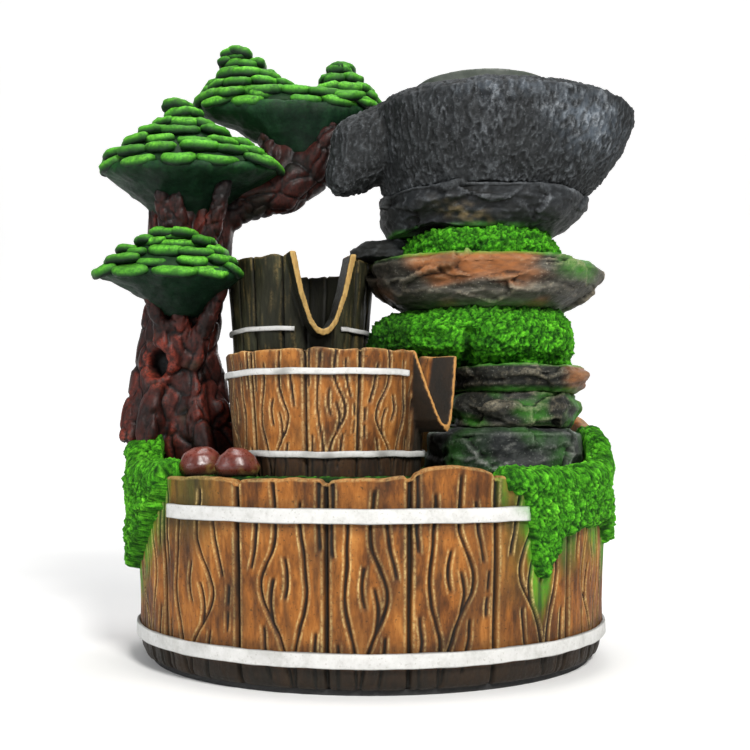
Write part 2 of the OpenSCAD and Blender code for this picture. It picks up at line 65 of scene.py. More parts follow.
CAMERA_AT = (0.0015, -0.420, 0.081)
CAMERA_TILT = 0.067
LENS = 49.73
SENSOR = 36
NEAREST_SEEN = 0.01
LIT_POINT = (0, 0, 0.12)
SKY_STRENGTH = 0.19
LIGHTS = (  # name, place, width in metres, power in watts, colour
    ("key", (0.30, -0.85, 0.75), 0.28, 13.5, (1, 0.985, 0.96)),
    ("fill", (-0.80, -0.55, 0.35), 0.5, 3.0, (0.96, 0.98, 1)),
    ("top", (0.0, 0.05, 0.95), 0.4, 3.5, (1, 1, 1)),
    ("rim", (0.3, 0.9, 0.55), 0.6, 3.0, (1, 1, 1)))


def put(name, data):
    """A new object in the scene."""
    ob = bpy.data.objects.new(name, data)
    bpy.context.scene.collection.objects.link(ob)
    return ob


def make_camera():
    data = bpy.data.cameras.new("camera")
    data.lens = LENS
    data.sensor_width = SENSOR
    data.clip_start = NEAREST_SEEN
    cam = put("camera", data)
    cam.location = CAMERA_AT
    cam.rotation_euler = (math.pi / 2 + CAMERA_TILT, 0, 0)
    bpy.context.scene.camera = cam


def make_lights():
    for name, at, size, power, colour in LIGHTS:
        data = bpy.data.lights.new(name, "AREA")
        data.shape = "DISK"
        data.size = size
        data.energy = power
        data.color = colour
        lamp = put(name, data)
        lamp.location = at
        lamp.rotation_euler = (Vector(LIT_POINT) - Vector(at)).to_track_quat("-Z", "Y").to_euler()
    world = bpy.data.worlds.new("studio")
    world.use_nodes = True
    sky = world.node_tree.nodes["Background"].inputs
    sky["Color"].default_value = (1, 1, 1, 1)
    sky["Strength"].default_value = SKY_STRENGTH
    bpy.context.scene.world = world
    bpy.context.scene.view_settings.view_transform = "Standard"


# ---------------------------------------------------------------- numbers


def smooth(x):
    x = np.clip(x, 0, 1)
    return x * x * (3 - 2 * x)


def bell(d, width):
    return np.exp(-((d / width) ** 2))


def stroke(d, width):
    """A flat-topped line 2 x width across, with soft sides."""
    return np.exp(-((d / width) ** 4))


def span(x, start, end, soft=0.15):
    """1 between start and end, easing to 0 over soft inside them."""
    return smooth((x - start) / soft) * smooth((end - x) / soft)


def hashed(c, seed):
    """Three scrambled numbers from 0 to 1 for each row of whole numbers c."""
    u = c.astype(np.int64).astype(np.uint32)
    h = u[:, 0] * np.uint32(0x8DA6B343) ^ u[:, 1] * np.uint32(0xD8163841)
    h = h ^ u[:, 2] * np.uint32(0xCB1AB31F) ^ np.uint32((seed * 0x9E3779B1) & 0xFFFFFFFF)
    h ^= h >> np.uint32(15)
    h *= np.uint32(0x2C1B3C6D)
    h ^= h >> np.uint32(12)
    h *= np.uint32(0x297A2D39)
    h ^= h >> np.uint32(15)
    ten_bits = np.uint32(1023)
    parts = (h & ten_bits, (h >> np.uint32(10)) & ten_bits, (h >> np.uint32(20)) & ten_bits)
    return np.stack(parts, 1) / 1023.0


CORNERS = [np.array(c) for c in product((0, 1), repeat=3)]
AROUND = [np.array(c) for c in product((-1, 0, 1), repeat=3)]
SEED_STEP = 7.31
NOISE_GAIN = 1.7


def noise(p, size, seed=0):
    """Smooth gradient noise, about -1 to 1, whose lumps are size mm across."""
    q = p / np.asarray(size, float) + seed * SEED_STEP
    cell = np.floor(q)
    f = q - cell
    w = f * f * f * (f * (f * 6 - 15) + 10)
    total = np.zeros(len(p))
    for corner in CORNERS:
        pull = hashed(cell + corner, seed) * 2 - 1
        share = np.prod(np.where(corner == 1, w, 1 - w), 1)
        total += ((f - corner) * pull).sum(1) * share
    return total * NOISE_GAIN


def cells(p, size, seed=0):
    """Distance to the nearest and second nearest scattered point, the way from the nearest,
    and three numbers of its own."""
    size = np.asarray(size, float)
    q = p / size
    cell = np.floor(q)
    f = q - cell
    near, second = np.full((2, len(p)), 9.0)
    way, tone = np.zeros((2, len(p), 3))
    for step in AROUND:
        own = hashed(cell + step, seed)
        gap = f - step - own
        d = np.sqrt((gap**2).sum(1))
        closer = d < near
        second = np.where(closer, near, np.minimum(second, d))
        near = np.where(closer, d, near)
        way[closer] = gap[closer]
        tone[closer] = own[closer]
    return near, second, way * size, tone


# ---------------------------------------------------------------- the frame's sizes, in mm


def low(node):
    return np.array(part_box(node)[0]) / MM


def high(node):
    return np.array(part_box(node)[1]) / MM


def centre(node):
    return (low(node) + high(node)) / 2


RIM_LIP = 0.5
TUB_A = high("main_tub")[0] - RIM_LIP
TUB_B = high("main_tub")[1] - RIM_LIP
TUB_FOOT = low("main_tub")[2]
DECK_TOP = high("moss_deck")[2]
DECK_LOW = low("moss_deck")[2]
RIM_FRONT = DECK_TOP + 0.5
RIM_RISE = high("main_tub")[2] - RIM_FRONT
STRAP_LOW = low("tub_lower_hoop")[2]
STRAP_HIGH = low("tub_upper_hoop")[2]
WALL = 5.5


def rim_height(t):
    """Height of the tub's rim at angle t in degrees. It climbs to the back, and one stave
    swells."""
    climb = RIM_RISE * smooth((TUB_B * np.sin(np.radians(t)) + 40) / 75)
    return RIM_FRONT + climb + 4.5 * smooth(1 - np.abs((t % 360) - 287) / 16)


def tub_inset(z):
    """How far the tub's side stands in from its widest, at height z."""
    side = 1.5 * smooth((STRAP_HIGH - z) / (STRAP_HIGH - STRAP_LOW - 5))
    foot = np.interp(z, [TUB_FOOT, TUB_FOOT + 0.7, TUB_FOOT + 2.5, STRAP_LOW - 1, STRAP_LOW],
                     [3.5, 2.2, 1.3, 0.6, 0.0])
    return side + foot


def on_tub(t, z, out=0.0):
    """Points on the tub's side at angle t and height z, out mm proud of it."""
    inset = tub_inset(z) - out
    x = (TUB_A - inset) * np.cos(np.radians(t))
    y = (TUB_B - inset) * np.sin(np.radians(t))
    return np.stack([x, y, z + 0 * x], -1)


# ---------------------------------------------------------------- meshes


def make_object(name, co, quads=None, tris=None):
    """A smooth-shaded object from points in mm and arrays of corners."""
    quads = np.zeros((0, 4), int) if quads is None else np.asarray(quads)
    tris = np.zeros((0, 3), int) if tris is None else np.asarray(tris)
    mesh = bpy.data.meshes.new(name)
    mesh.vertices.add(len(co))
    mesh.vertices.foreach_set("co", (np.asarray(co, float) * MM).ravel())
    corners = np.concatenate([quads.ravel(), tris.ravel()])
    starts = np.concatenate([np.arange(len(quads)) * 4, quads.size + np.arange(len(tris)) * 3])
    mesh.loops.add(len(corners))
    mesh.loops.foreach_set("vertex_index", corners.astype(np.int32))
    mesh.polygons.add(len(starts))
    mesh.polygons.foreach_set("loop_start", starts.astype(np.int32))
    mesh.polygons.foreach_set("use_smooth", np.ones(len(starts), bool))
    mesh.update(calc_edges=True)
    mesh.validate()
    return put(name, mesh)


def gathered(rows, field, kind, wide):
    """One of Blender's lists as an array, wide numbers to a row."""
    out = np.zeros(len(rows) * wide, kind)
    rows.foreach_get(field, out)
    return out.reshape(-1, wide)


def points(mesh):
    return gathered(mesh.vertices, "co", np.float32, 3).astype(float) / MM


def normals(mesh):
    return gathered(mesh.vertex_normals, "vector", np.float32, 3).astype(float)


def move_points(mesh, co):
    mesh.vertices.foreach_set("co", (co * MM).astype(np.float32).ravel())
    mesh.update()


def node_shape(node):
    """A CAD node's points and triangles."""
    mesh = frame["nodes"][node].data
    mesh.calc_loop_triangles()
    return points(mesh), gathered(mesh.loop_triangles, "vertices", np.int32, 3)


def grid(m, n):
    """Row and column numbers of a grid's squares."""
    return np.meshgrid(np.arange(m), np.arange(n), indexing="ij")


def around(n):
    """n even steps round a circle, in radians."""
    return np.linspace(0, 2 * np.pi, n, endpoint=False)


def loft_shape(rows, caps=True):
    """Points, quads and cap triangles of a skin through rings, given as an array rows x n x 3."""
    rows = np.asarray(rows, float)
    m, n = rows.shape[:2]
    j, i = grid(m - 1, n)
    k = (i + 1) % n
    quads = np.stack([j * n + i, j * n + k, (j + 1) * n + k, (j + 1) * n + i], -1).reshape(-1, 4)
    co = rows.reshape(-1, 3)
    tris = np.zeros((0, 3), int)
    if caps:
        co = np.concatenate([co, [rows[0].mean(0)], [rows[-1].mean(0)]])
        i = np.arange(n)
        k = (i + 1) % n
        first = np.stack([np.full(n, m * n), k, i], 1)
        last = np.stack([np.full(n, m * n + 1), (m - 1) * n + i, (m - 1) * n + k], 1)
        tris = np.concatenate([first, last])
    return co, quads, tris


def loft_triangles(rows, caps=True):
    """Points and triangles of a skin through rings."""
    co, quads, tris = loft_shape(rows, caps)
    return co, np.concatenate([quads[:, [0, 1, 2]], quads[:, [0, 2, 3]], tris])


def limb_shape(path, radii, n=20):
    """A closed tube through given points, with a radius at each."""
    path = np.asarray(path, float)
    radii = np.asarray(radii, float)
    ends = np.arange(len(path))
    fine = np.linspace(0, len(path) - 1, (len(path) - 1) * 5 + 1)
    path = np.stack([np.interp(fine, ends, path[:, k]) for k in range(3)], 1)
    radii = np.interp(fine, ends, radii)
    for _ in range(3):
        path[1:-1] = (path[:-2] + 2 * path[1:-1] + path[2:]) / 4
        radii[1:-1] = (radii[:-2] + 2 * radii[1:-1] + radii[2:]) / 4
    along = np.gradient(path, axis=0)
    along /= np.linalg.norm(along, axis=1, keepdims=True)
    side = np.cross(along, [0.3, 1, 0.2])
    side /= np.linalg.norm(side, axis=1, keepdims=True)
    other = np.cross(along, side)
    t = around(n)[None, :, None]
    ring = np.cos(t) * side[:, None] + np.sin(t) * other[:, None]
    return loft_triangles(path[:, None] + radii[:, None, None] * ring)


def joined(shapes):
    """Several shapes' points and triangles as one."""
    base = 0
    all_co, all_tris = [], []
    for co, tris in shapes:
        all_co.append(co)
        all_tris.append(tris + base)
        base += len(co)
    return np.concatenate(all_co), np.concatenate(all_tris)


def skinned(name, shapes, voxel, ease=2):
    """One even skin round all the shapes, of squares voxel mm across."""
    co, tris = joined(shapes)
    ob = make_object(name, co, tris=tris)
    skin = ob.modifiers.new("skin", "REMESH")
    skin.mode = "VOXEL"
    skin.voxel_size = voxel * MM
    skin.use_smooth_shade = True
    if ease:
        relax = ob.modifiers.new("ease", "SMOOTH")
        relax.factor = 0.5
        relax.iterations = ease
    graph = bpy.context.evaluated_depsgraph_get()
    mesh = bpy.data.meshes.new_from_object(ob.evaluated_get(graph))
    ob.modifiers.clear()
    ob.data = mesh
    mesh.name = name
    return ob


def bulge(mesh, rounds=2):
    """How convex the mesh is at each vertex, in 1/mm: above 0 on ridges, below in hollows."""
    co = points(mesh)
    a, b = gathered(mesh.edges, "vertices", np.int32, 2).T
    n = len(co)
    count = np.maximum(np.bincount(a, minlength=n) + np.bincount(b, minlength=n), 1)

    def mean_of_neighbours(v):
        return (np.bincount(a, v[b], n) + np.bincount(b, v[a], n)) / count

    away = co - np.stack([mean_of_neighbours(co[:, k]) for k in range(3)], 1)
    step = np.linalg.norm(co[a] - co[b], axis=1).mean()
    curve = (away * normals(mesh)).sum(1) / step**2
    for _ in range(rounds):
        curve = (curve + mean_of_neighbours(curve)) / 2
    return curve


def wear_and_crease_shade(mesh, rounds=2, soft=0.25):
    """Groove and edge masks that follow the mesh's own hollows and ridges: dark wash and worn edges
    on the painted resin, painted shade in the creases of the moss and the pads' undersides.
    """
    curve = bulge(mesh, rounds)
    return smooth(-curve / soft), smooth(curve / soft)


def push(ob, field):
    """Moves each vertex along its normal by field(points, normals), in mm."""
    co, n = points(ob.data), normals(ob.data)
    move_points(ob.data, co + n * field(co, n)[:, None])


def paint(ob, groove=0, edge=0, spray=0, shade=0, blend=0):
    """Writes the mask and the blend that the painted materials read."""
    n = len(ob.data.vertices)
    *mask, blend = (np.broadcast_to(np.asarray(v, float), (n,))
                    for v in (groove, edge, spray, shade, blend))
    for name, kind, field, values in (("mask", "FLOAT_COLOR", "color", np.stack(mask, 1)),
                                      ("blend", "FLOAT", "value", blend)):
        layer = ob.data.attributes.new(name, kind, "POINT").data
        layer.foreach_set(field, np.clip(values, 0, 1).astype(np.float32).ravel())


def hand_in(ob, slot, replaces, body=ROOT, material=None):
    """Gives a piece its material and puts it on its body in place of its CAD nodes."""
    ob.data.materials.clear()
    ob.data.materials.append(M[material or slot])
    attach(ob, body)
    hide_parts(*replaces)


# ---------------------------------------------------------------- materials


def add(tree, kind, inputs=None, **settings):
    node = tree.nodes.new("ShaderNode" + kind)
    for key, value in settings.items():
        setattr(node, key, value)
    for key, value in (inputs or {}).items():
        if isinstance(value, bpy.types.NodeSocket):
            tree.links.new(value, node.inputs[key])
        else:
            node.inputs[key].default_value = value
    return node


def rgba(colour):
    return (*colour, 1)


def mixed(tree, share, first, second):
    """The first colour, with a share of the second."""
    node = add(tree, "Mix", data_type="RGBA")
    for index, value in ((0, share), (6, first), (7, second)):
        if isinstance(value, bpy.types.NodeSocket):
            tree.links.new(value, node.inputs[index])
        else:
            node.inputs[index].default_value = value if index == 0 else rgba(value)
    return node.outputs[2]


def ramp(tree, value, stops):
    node = add(tree, "ValToRGB", {"Fac": value})
    band = node.color_ramp
    while len(band.elements) < len(stops):
        band.elements.new(0.5)
    for element, (at, colour) in zip(band.elements, stops):
        element.position = at
        element.color = rgba(colour)
    return node.outputs["Color"]


def between(tree, value, low_in, high_in, low_out=0.0, high_out=1.0):
    """The value, with low_in to high_in spread over low_out to high_out."""
    inputs = {"Value": value, "From Min": low_in, "From Max": high_in, "To Min": low_out,
              "To Max": high_out}
    return add(tree, "MapRange", inputs).outputs["Result"]


def times(tree, a, b):
    return add(tree, "Math", {0: a, 1: b}, operation="MULTIPLY", use_clamp=True).outputs[0]


def new_material(name, settings):
    mat = bpy.data.materials.new(name)
    mat.use_nodes = True
    shader = mat.node_tree.nodes["Principled BSDF"]
    for key, value in settings.items():
        shader.inputs[key].default_value = value
    return mat, mat.node_tree, shader


def wave(tree, where, size_mm, stretch, detail=3.0, rough=0.55):
    """A noise whose lumps are size_mm across, drawn out along any axis with a stretch above 1."""
    scale = tuple(1 / s for s in stretch)
    spread = add(tree, "Mapping", {"Vector": where, "Scale": scale}).outputs["Vector"]
    inputs = {"Vector": spread, "Scale": 1000.0 / size_mm, "Detail": detail, "Roughness": rough}
    return add(tree, "TexNoise", inputs).outputs["Fac"]


def roughen(tree, shader, height, strength, depth):
    """Bumps of a depth in mm."""
    bumps = add(tree, "Bump", {"Strength": strength, "Distance": depth * MM, "Height": height})
    tree.links.new(bumps.outputs["Normal"], shader.inputs["Normal"])


EVEN = (1, 1, 1)
BLACK = (0.006, 0.005, 0.004)
SPRAY = (0.055, 0.33, 0.012)
WOOD = [(0.30, (0.024, 0.010, 0.003)), (0.43, (0.12, 0.040, 0.008)), (0.55, (0.29, 0.102, 0.017)),
        (0.70, (0.47, 0.20, 0.045))]
GROOVE_SHARE = 0.97
SHADE_SHARE = 0.92


def painted(name, stops, groove, edge, lump, stretch, rough, grain, bump, edge_share=0.9,
            shade=(0.01, 0.01, 0.008), speck=None, specular=0.14, second=(0.1, 0.1, 0.1)):
    """Brushed paint on cast resin: patches of colour, black wash in the grooves, a dry brush over
    the high edges, overspray and deep painted shade, over a fine grain. On the moss and the leaves
    the groove coat is painted shade in the creases and the edge coat is a painted highlight."""
    mat, tree, shader = new_material(name, {"Specular IOR Level": specular})
    where = add(tree, "TexCoord").outputs["Object"]
    mask = add(tree, "Attribute", attribute_name="mask")
    part = add(tree, "SeparateColor", {"Color": mask.outputs["Color"]}).outputs
    patches = wave(tree, where, lump, stretch, 4.0, 0.6)
    streaks = wave(tree, where, lump * 0.18, stretch, 3.0, 0.6)
    dust = wave(tree, where, 1.1, EVEN, 3.0, 0.7)
    colour = ramp(tree, add(tree, "Mix", {0: 0.4, 2: patches, 3: streaks}).outputs[0], stops)
    if speck:
        dots = between(tree, wave(tree, where, 0.9, EVEN, 2.0), 0.62, 0.7, 0.0, 0.75)
        colour = mixed(tree, dots, colour, speck)
    blend = add(tree, "Attribute", attribute_name="blend").outputs["Fac"]
    # Green mask: the dry brush on worn edges, and painted highlights on the moss and the leaves.
    brushed_and_highlight = times(tree, part["Green"], between(tree, dust, 0.38, 0.6, 0.15, 1.0))
    for share, coat in (
            (times(tree, blend, between(tree, streaks, 0.3, 0.6, 0.55, 1.0)), second),
            (times(tree, part["Blue"], between(tree, dust, 0.3, 0.55, 0.55, 1.0)), SPRAY),
            (times(tree, brushed_and_highlight, edge_share), edge),
            (times(tree, part["Red"], GROOVE_SHARE), groove),
            (times(tree, mask.outputs["Alpha"], SHADE_SHARE), shade)):
        colour = mixed(tree, share, colour, coat)
    tree.links.new(colour, shader.inputs["Base Color"])
    tree.links.new(between(tree, dust, 0.3, 0.7, *rough), shader.inputs["Roughness"])
    roughen(tree, shader, wave(tree, where, grain, stretch, 4.0, 0.65), 0.8, bump)
    return mat


def moulded(name, colour, rough, bump=0.03, **settings):
    """Moulded plastic, rubber or metal with a faint texture and uneven gloss."""
    mat, tree, shader = new_material(name, settings)
    where = add(tree, "TexCoord").outputs["Object"]
    fine = wave(tree, where, 0.7, EVEN, 3.0)
    broad = wave(tree, where, 6.0, EVEN, 2.0)
    dark = tuple(c * 0.75 for c in colour)
    tree.links.new(ramp(tree, broad, [(0.3, dark), (0.7, colour)]), shader.inputs["Base Color"])
    gloss = between(tree, fine, 0.3, 0.7, rough * 0.85, min(1, rough * 1.2))
    tree.links.new(gloss, shader.inputs["Roughness"])
    roughen(tree, shader, fine, 0.5, bump)
    return mat


# Each paint: name, tones, groove colour, edge colour, size of its patches, how they are drawn out,
# least and most roughness, size of the grain, depth of the bumps, and anything unusual. On the
# moss and the leaves the groove colour is painted shade and the edge colour a painted highlight.
PAINTS = {
    "tub_wood": (
        "tub_paint", WOOD, BLACK, (0.74, 0.54, 0.22), 12, (1, 1, 3.2), (0.5, 0.75), 0.7, 0.2,
        dict(speck=(0.06, 0.03, 0.01), specular=0.22, second=(0.045, 0.07, 0.012))),
    "barrel_wood": (
        "barrel_paint", WOOD, BLACK, (0.76, 0.54, 0.24), 9, (1, 1, 3.2), (0.48, 0.7), 0.6, 0.18,
        dict(speck=(0.06, 0.03, 0.01), specular=0.22, second=(0.52, 0.24, 0.06))),
    "dark_wood": (
        "dark_barrel_paint",
        [(0.3, (0.008, 0.008, 0.005)), (0.5, (0.02, 0.02, 0.011)), (0.68, (0.05, 0.05, 0.026))],
        (0.002, 0.002, 0.001), (0.52, 0.36, 0.13), 7, (1, 1, 5), (0.4, 0.62), 0.6, 0.15,
        dict(second=(0.40, 0.24, 0.075))),
    "strap_paint": (
        "strap_paint",
        [(0.3, (0.46, 0.46, 0.44)), (0.5, (0.60, 0.60, 0.585)), (0.7, (0.68, 0.68, 0.67))],
        (0.05, 0.045, 0.035), (0.75, 0.75, 0.74), 9, EVEN, (0.45, 0.65), 0.5, 0.1,
        dict(speck=(0.42, 0.41, 0.38))),
    "bark": (
        "bark_paint",
        [(0.28, (0.003, 0.002, 0.002)), (0.45, (0.012, 0.004, 0.003)),
         (0.60, (0.05, 0.011, 0.008)), (0.75, (0.10, 0.020, 0.013))],
        (0.001, 0.0006, 0.0006), (0.30, 0.046, 0.026), 7, (1, 1, 1.6), (0.38, 0.6), 0.9, 0.2,
        dict(edge_share=0.85, shade=(0.003, 0.003, 0.003), specular=0.22,
             second=(0.022, 0.034, 0.022))),
    "root_stone": (
        "root_stone_paint",
        [(0.3, (0.045, 0.009, 0.006)), (0.55, (0.10, 0.018, 0.012)), (0.75, (0.17, 0.035, 0.024))],
        BLACK, (0.34, 0.10, 0.07), 5, EVEN, (0.22, 0.4), 0.8, 0.08,
        dict(specular=0.55, second=(0.42, 0.33, 0.09))),
    "dark_rock": (
        "dark_rock_paint",
        [(0.3, (0.006, 0.007, 0.007)), (0.5, (0.02, 0.023, 0.023)), (0.7, (0.055, 0.06, 0.058))],
        (0.002, 0.002, 0.002), (0.33, 0.34, 0.31), 9, (1, 1, 0.6), (0.42, 0.68), 0.7, 0.2,
        dict(edge_share=0.75, speck=(0.12, 0.13, 0.12))),
    "neck_rock": (
        "neck_paint",
        [(0.3, (0.006, 0.007, 0.008)), (0.5, (0.018, 0.02, 0.022)), (0.7, (0.05, 0.055, 0.06))],
        (0.002, 0.002, 0.002), (0.26, 0.28, 0.30), 10, (1, 1, 0.7), (0.42, 0.66), 0.6, 0.2,
        dict(edge_share=0.7, second=(0.42, 0.30, 0.15))),
    "ledge_rock": (
        "ledge_rock_paint",
        [(0.3, (0.005, 0.006, 0.005)), (0.5, (0.017, 0.018, 0.016)), (0.7, (0.055, 0.057, 0.05))],
        (0.002, 0.003, 0.002), (0.42, 0.37, 0.26), 12, (1.6, 1.6, 0.5), (0.42, 0.68), 0.7, 0.2,
        dict(edge_share=0.75, speck=(0.14, 0.14, 0.12), second=(0.30, 0.12, 0.045))),
    "shelf_rock": (
        "shelf_rock_paint",
        [(0.30, (0.010, 0.010, 0.008)), (0.42, (0.035, 0.033, 0.027)), (0.55, (0.09, 0.085, 0.07)),
         (0.75, (0.22, 0.21, 0.17))],
        (0.005, 0.004, 0.003), (0.50, 0.42, 0.28), 14, (1.8, 1.8, 0.45), (0.42, 0.68), 0.7, 0.2,
        dict(edge_share=0.7, speck=(0.26, 0.25, 0.2), second=(0.31, 0.115, 0.038))),
    "bowl_stone": (
        "bowl_paint",
        [(0.3, (0.004, 0.005, 0.006)), (0.5, (0.014, 0.016, 0.018)), (0.7, (0.045, 0.050, 0.054))],
        (0.0015, 0.0015, 0.002), (0.36, 0.39, 0.42), 11, EVEN, (0.5, 0.75), 0.6, 0.22,
        dict(edge_share=0.8, speck=(0.10, 0.11, 0.12), second=(0.22, 0.27, 0.33))),
    # The leaf's edge colour is the painted highlight on the cushions' tops, its groove colour the
    # painted shade on their sides and in the gaps.
    "leaf": (
        "leaf_paint",
        [(0.3, (0.010, 0.075, 0.006)), (0.5, (0.030, 0.20, 0.008)), (0.7, (0.07, 0.36, 0.014))],
        (0.001, 0.007, 0.003), (0.21, 0.72, 0.05), 6, EVEN, (0.5, 0.75), 0.7, 0.25,
        dict(shade=(0.001, 0.012, 0.005), specular=0.25)),
    # A darker copy of the leaf paint, for painted shade on the pads' undersides.
    "leaf_underside_shade": (
        "leaf_under_paint",
        [(0.3, (0.0015, 0.006, 0.003)), (0.5, (0.004, 0.020, 0.009)), (0.7, (0.010, 0.045, 0.018))],
        (0.001, 0.003, 0.002), (0.030, 0.17, 0.025), 8, EVEN, (0.45, 0.65), 0.8, 0.25,
        dict(shade=(0.001, 0.003, 0.002))),
    # The moss's edge colour is the painted highlight on its tuft crowns, its groove colour the
    # painted shade in its creases.
    "moss": (
        "moss_flock",
        [(0.36, (0.003, 0.035, 0.001)), (0.45, (0.026, 0.21, 0.004)), (0.54, (0.085, 0.50, 0.012)),
         (0.64, (0.20, 0.76, 0.03))],
        (0.001, 0.010, 0.001), (0.27, 0.86, 0.05), 1.9, EVEN, (0.7, 0.95), 0.6, 0.5,
        dict(shade=(0.001, 0.010, 0.001), specular=0.15)),
    # The deck's moss: its edge colour is the painted highlight on tuft crowns, its groove colour
    # painted shade in the creases.
    "moss_floor": (
        "moss_floor_paint",
        [(0.3, (0.002, 0.008, 0.001)), (0.5, (0.006, 0.03, 0.003)), (0.7, (0.018, 0.08, 0.006))],
        (0.001, 0.003, 0.001), (0.07, 0.27, 0.018), 5, EVEN, (0.65, 0.9), 0.8, 0.4,
        dict(second=(0.05, 0.26, 0.01))),
    "dish_glaze": (
        "dish_glaze",
        [(0.3, (0.035, 0.045, 0.036)), (0.5, (0.06, 0.072, 0.058)), (0.7, (0.095, 0.11, 0.09))],
        BLACK, (0.24, 0.26, 0.23), 14, EVEN, (0.4, 0.55), 0.8, 0.05, dict(specular=0.35)),
}
MOULDED = {  # name, colour, roughness, and the bumps' depth where it isn't the usual one
    "pump_plastic": ("black_abs", (0.02, 0.02, 0.021), 0.45),
    "grille_plastic": ("dark_abs", (0.045, 0.045, 0.05), 0.5),
    "dial_plastic": ("orange_abs", (0.62, 0.12, 0.02), 0.3),
    "impeller_plastic": ("blue_abs", (0.03, 0.11, 0.42), 0.35),
    "shaft_ceramic": ("white_ceramic", (0.8, 0.79, 0.75), 0.15, 0.01),
    "hose_vinyl": ("milky_vinyl", (0.7, 0.74, 0.74), 0.22, 0.01),
    "soft_rubber": ("black_rubber", (0.022, 0.022, 0.022), 0.75, 0.06),
    "lamp_white": ("white_pc", (0.78, 0.78, 0.76), 0.3),
    "lamp_yellow": ("phosphor", (0.85, 0.62, 0.08), 0.4),
}


def make_materials():
    m = {slot: painted(*look, **more) for slot, (*look, more) in PAINTS.items()}
    m.update((slot, moulded(*look)) for slot, look in MOULDED.items())
    m["screw_steel"] = moulded("bright_steel", (0.62, 0.62, 0.63), 0.28, 0.01, Metallic=1.0)
    m["lamp_clear"] = moulded("clear_acrylic", (0.9, 0.95, 0.97), 0.08, 0.005,
                              **{"Transmission Weight": 0.9})
    return m


# ---------------------------------------------------------------- staves

TUB_JOINTS = [1, 23, 44, 65, 86, 107, 128, 150, 172, 195, 217, 241, 261, 278, 297, 319, 340, 361]


def carving(t, z, joints, radius, knot_z, knot_h):
    """Grooves of a staved wall at angle t and height z: how far the wall sinks, how black the
    groove is, how worn its lips are, and how far the stave's edge is. Each stave has a lens of two
    bowed lines round a pair of crescents, and a few short strokes beside it. The lens is about
    knot_z high, and knot_h sets how tall it is."""
    joints = np.asarray(joints, float)
    t = (t - joints[0]) % 360 + joints[0]
    i = np.clip(np.searchsorted(joints, t, side="right") - 1, 0, len(joints) - 2)
    left, right = joints[i], joints[i + 1]
    half = np.radians(right - left) / 2 * radius
    centred = np.radians(t - (left + right) / 2) * radius
    own = hashed(np.stack([i, i * 0 + 3, i * 0 + 5], 1), 11)
    waver = np.stack([i * 9.7, i * 0.0, z], 1)
    side = np.where(own[:, 1] > 0.5, 1, -1)
    x = side * centred + 0.8 * noise(waver, (1, 1, 15), 2) + 0.2 * noise(waver, (1, 1, 5), 4)
    at = knot_z + (own[:, 0] - 0.5) * knot_h * 0.9
    rise = (z - at) / knot_h
    bow = bell(rise, 1.05)
    lines = [  # how far off each groove's middle is, where along the stave it runs, and its depth
        (x - half * (0.06 - 0.50 * bow - 0.07 * rise), span(rise, -2.7, 2.9), 1.0),
        (x - half * (0.38 + 0.20 * bow + 0.03 * rise), span(rise, -2.9, 2.4), 0.9),
        (x - half * (0.00 + 0.17 * bell(rise - 0.3, 0.7)), span(rise, -0.3, 0.95), 0.8),
        (x + half * (0.02 + 0.20 * bell(rise + 0.3, 0.8)), span(rise, -0.95, 0.4), 0.8),
        (x + half * (0.74 - 0.13 * rise), span(rise, 0.45, 2.2), 0.8),
        (x + half * (0.46 + 0.10 * rise), span(rise, -2.4, -0.85), 0.75),
        (x - half * (0.80 + 0.02 * rise), span(np.abs(rise), 1.15 - 0.5 * own[:, 2], 9), 0.65),
        (x + half * (0.80 + 0.04 * rise),
         span(np.abs(rise + 0.3), 0.0, 0.7) * (own[:, 2] > 0.4), 0.6),
    ]
    scale = np.clip(radius / 90, 0.66, 1)
    black, sink, lips = np.zeros((3, len(t)))
    thick = 0.60 * scale * (1 + 0.3 * noise(waver, (1, 1, 7), 6))
    for gap, there, depth in lines:
        cut = stroke(gap, thick) * there
        black = np.maximum(black, cut)
        sink = np.maximum(sink, depth * cut)
        lips = np.maximum(lips, bell(np.abs(gap) - 1.15 * scale, 0.32 * scale) * there)
    edge_gap = half - np.abs(centred)
    joint = stroke(edge_gap, 0.75 * scale)
    black = np.maximum(black, joint)
    sink = np.maximum(sink, 1.5 * joint) + 0.45 * smooth(1 - edge_gap / 4.0)
    lips = np.maximum(lips, bell(edge_gap - 1.5 * scale, 0.4 * scale))
    lips = lips * (1 - np.clip(black * 1.3, 0, 1))
    return sink, black, lips, edge_gap


# Lower edge of the moss on the tub's side, as angles and heights.
MOSS_RIGHT = [(297, 74), (300, 66), (304, 62), (305.5, 50), (307, 36), (310, 34), (312.5, 41),
              (315, 49), (322, 50), (332, 52), (338, 50), (342, 44), (347, 42), (353, 46),
              (358, 58), (360, 66)]
MOSS_LEFT = [(185, 62), (190, 38), (197, 33), (203, 40), (208, 46), (213, 53), (218, 63),
             (221, 78)]
NO_MOSS = 200.0


def moss_floor_z(t):
    """Lower edge of the moss on the tub at angle t, far above the rim where there's none."""
    t = t % 360
    right, left = (np.interp(t, *np.transpose(edge)) for edge in (MOSS_RIGHT, MOSS_LEFT))
    out = np.where(t >= MOSS_RIGHT[0][0], right, NO_MOSS)
    out = np.where(t < 8, 66 + t * 3.0, out)
    return np.where((t >= MOSS_LEFT[0][0]) & (t <= MOSS_LEFT[-1][0]), left, out)


FRONT = (192, 348)
CARVED_TUB = dict(joints=TUB_JOINTS, radius=89.0, knot_z=35.0, knot_h=12.5)
NO_KNOT = 500.0
SIDE, EDGE, LIP, INSIDE = range(4)


def unrolled(t, z, per_degree=1.55):
    """Points of the tub's side laid out flat, in mm, for a noise that follows it."""
    return np.stack([t * per_degree, 0 * t, z + 0 * t], 1)


def tub_columns():
    """Angles of the tub's mesh: close together in front, wider apart behind."""
    fine = np.arange(FRONT[0], FRONT[1], 0.225)
    coarse = np.arange(FRONT[1], FRONT[0] + 360, 0.62)
    return np.concatenate([fine, coarse]) % 360


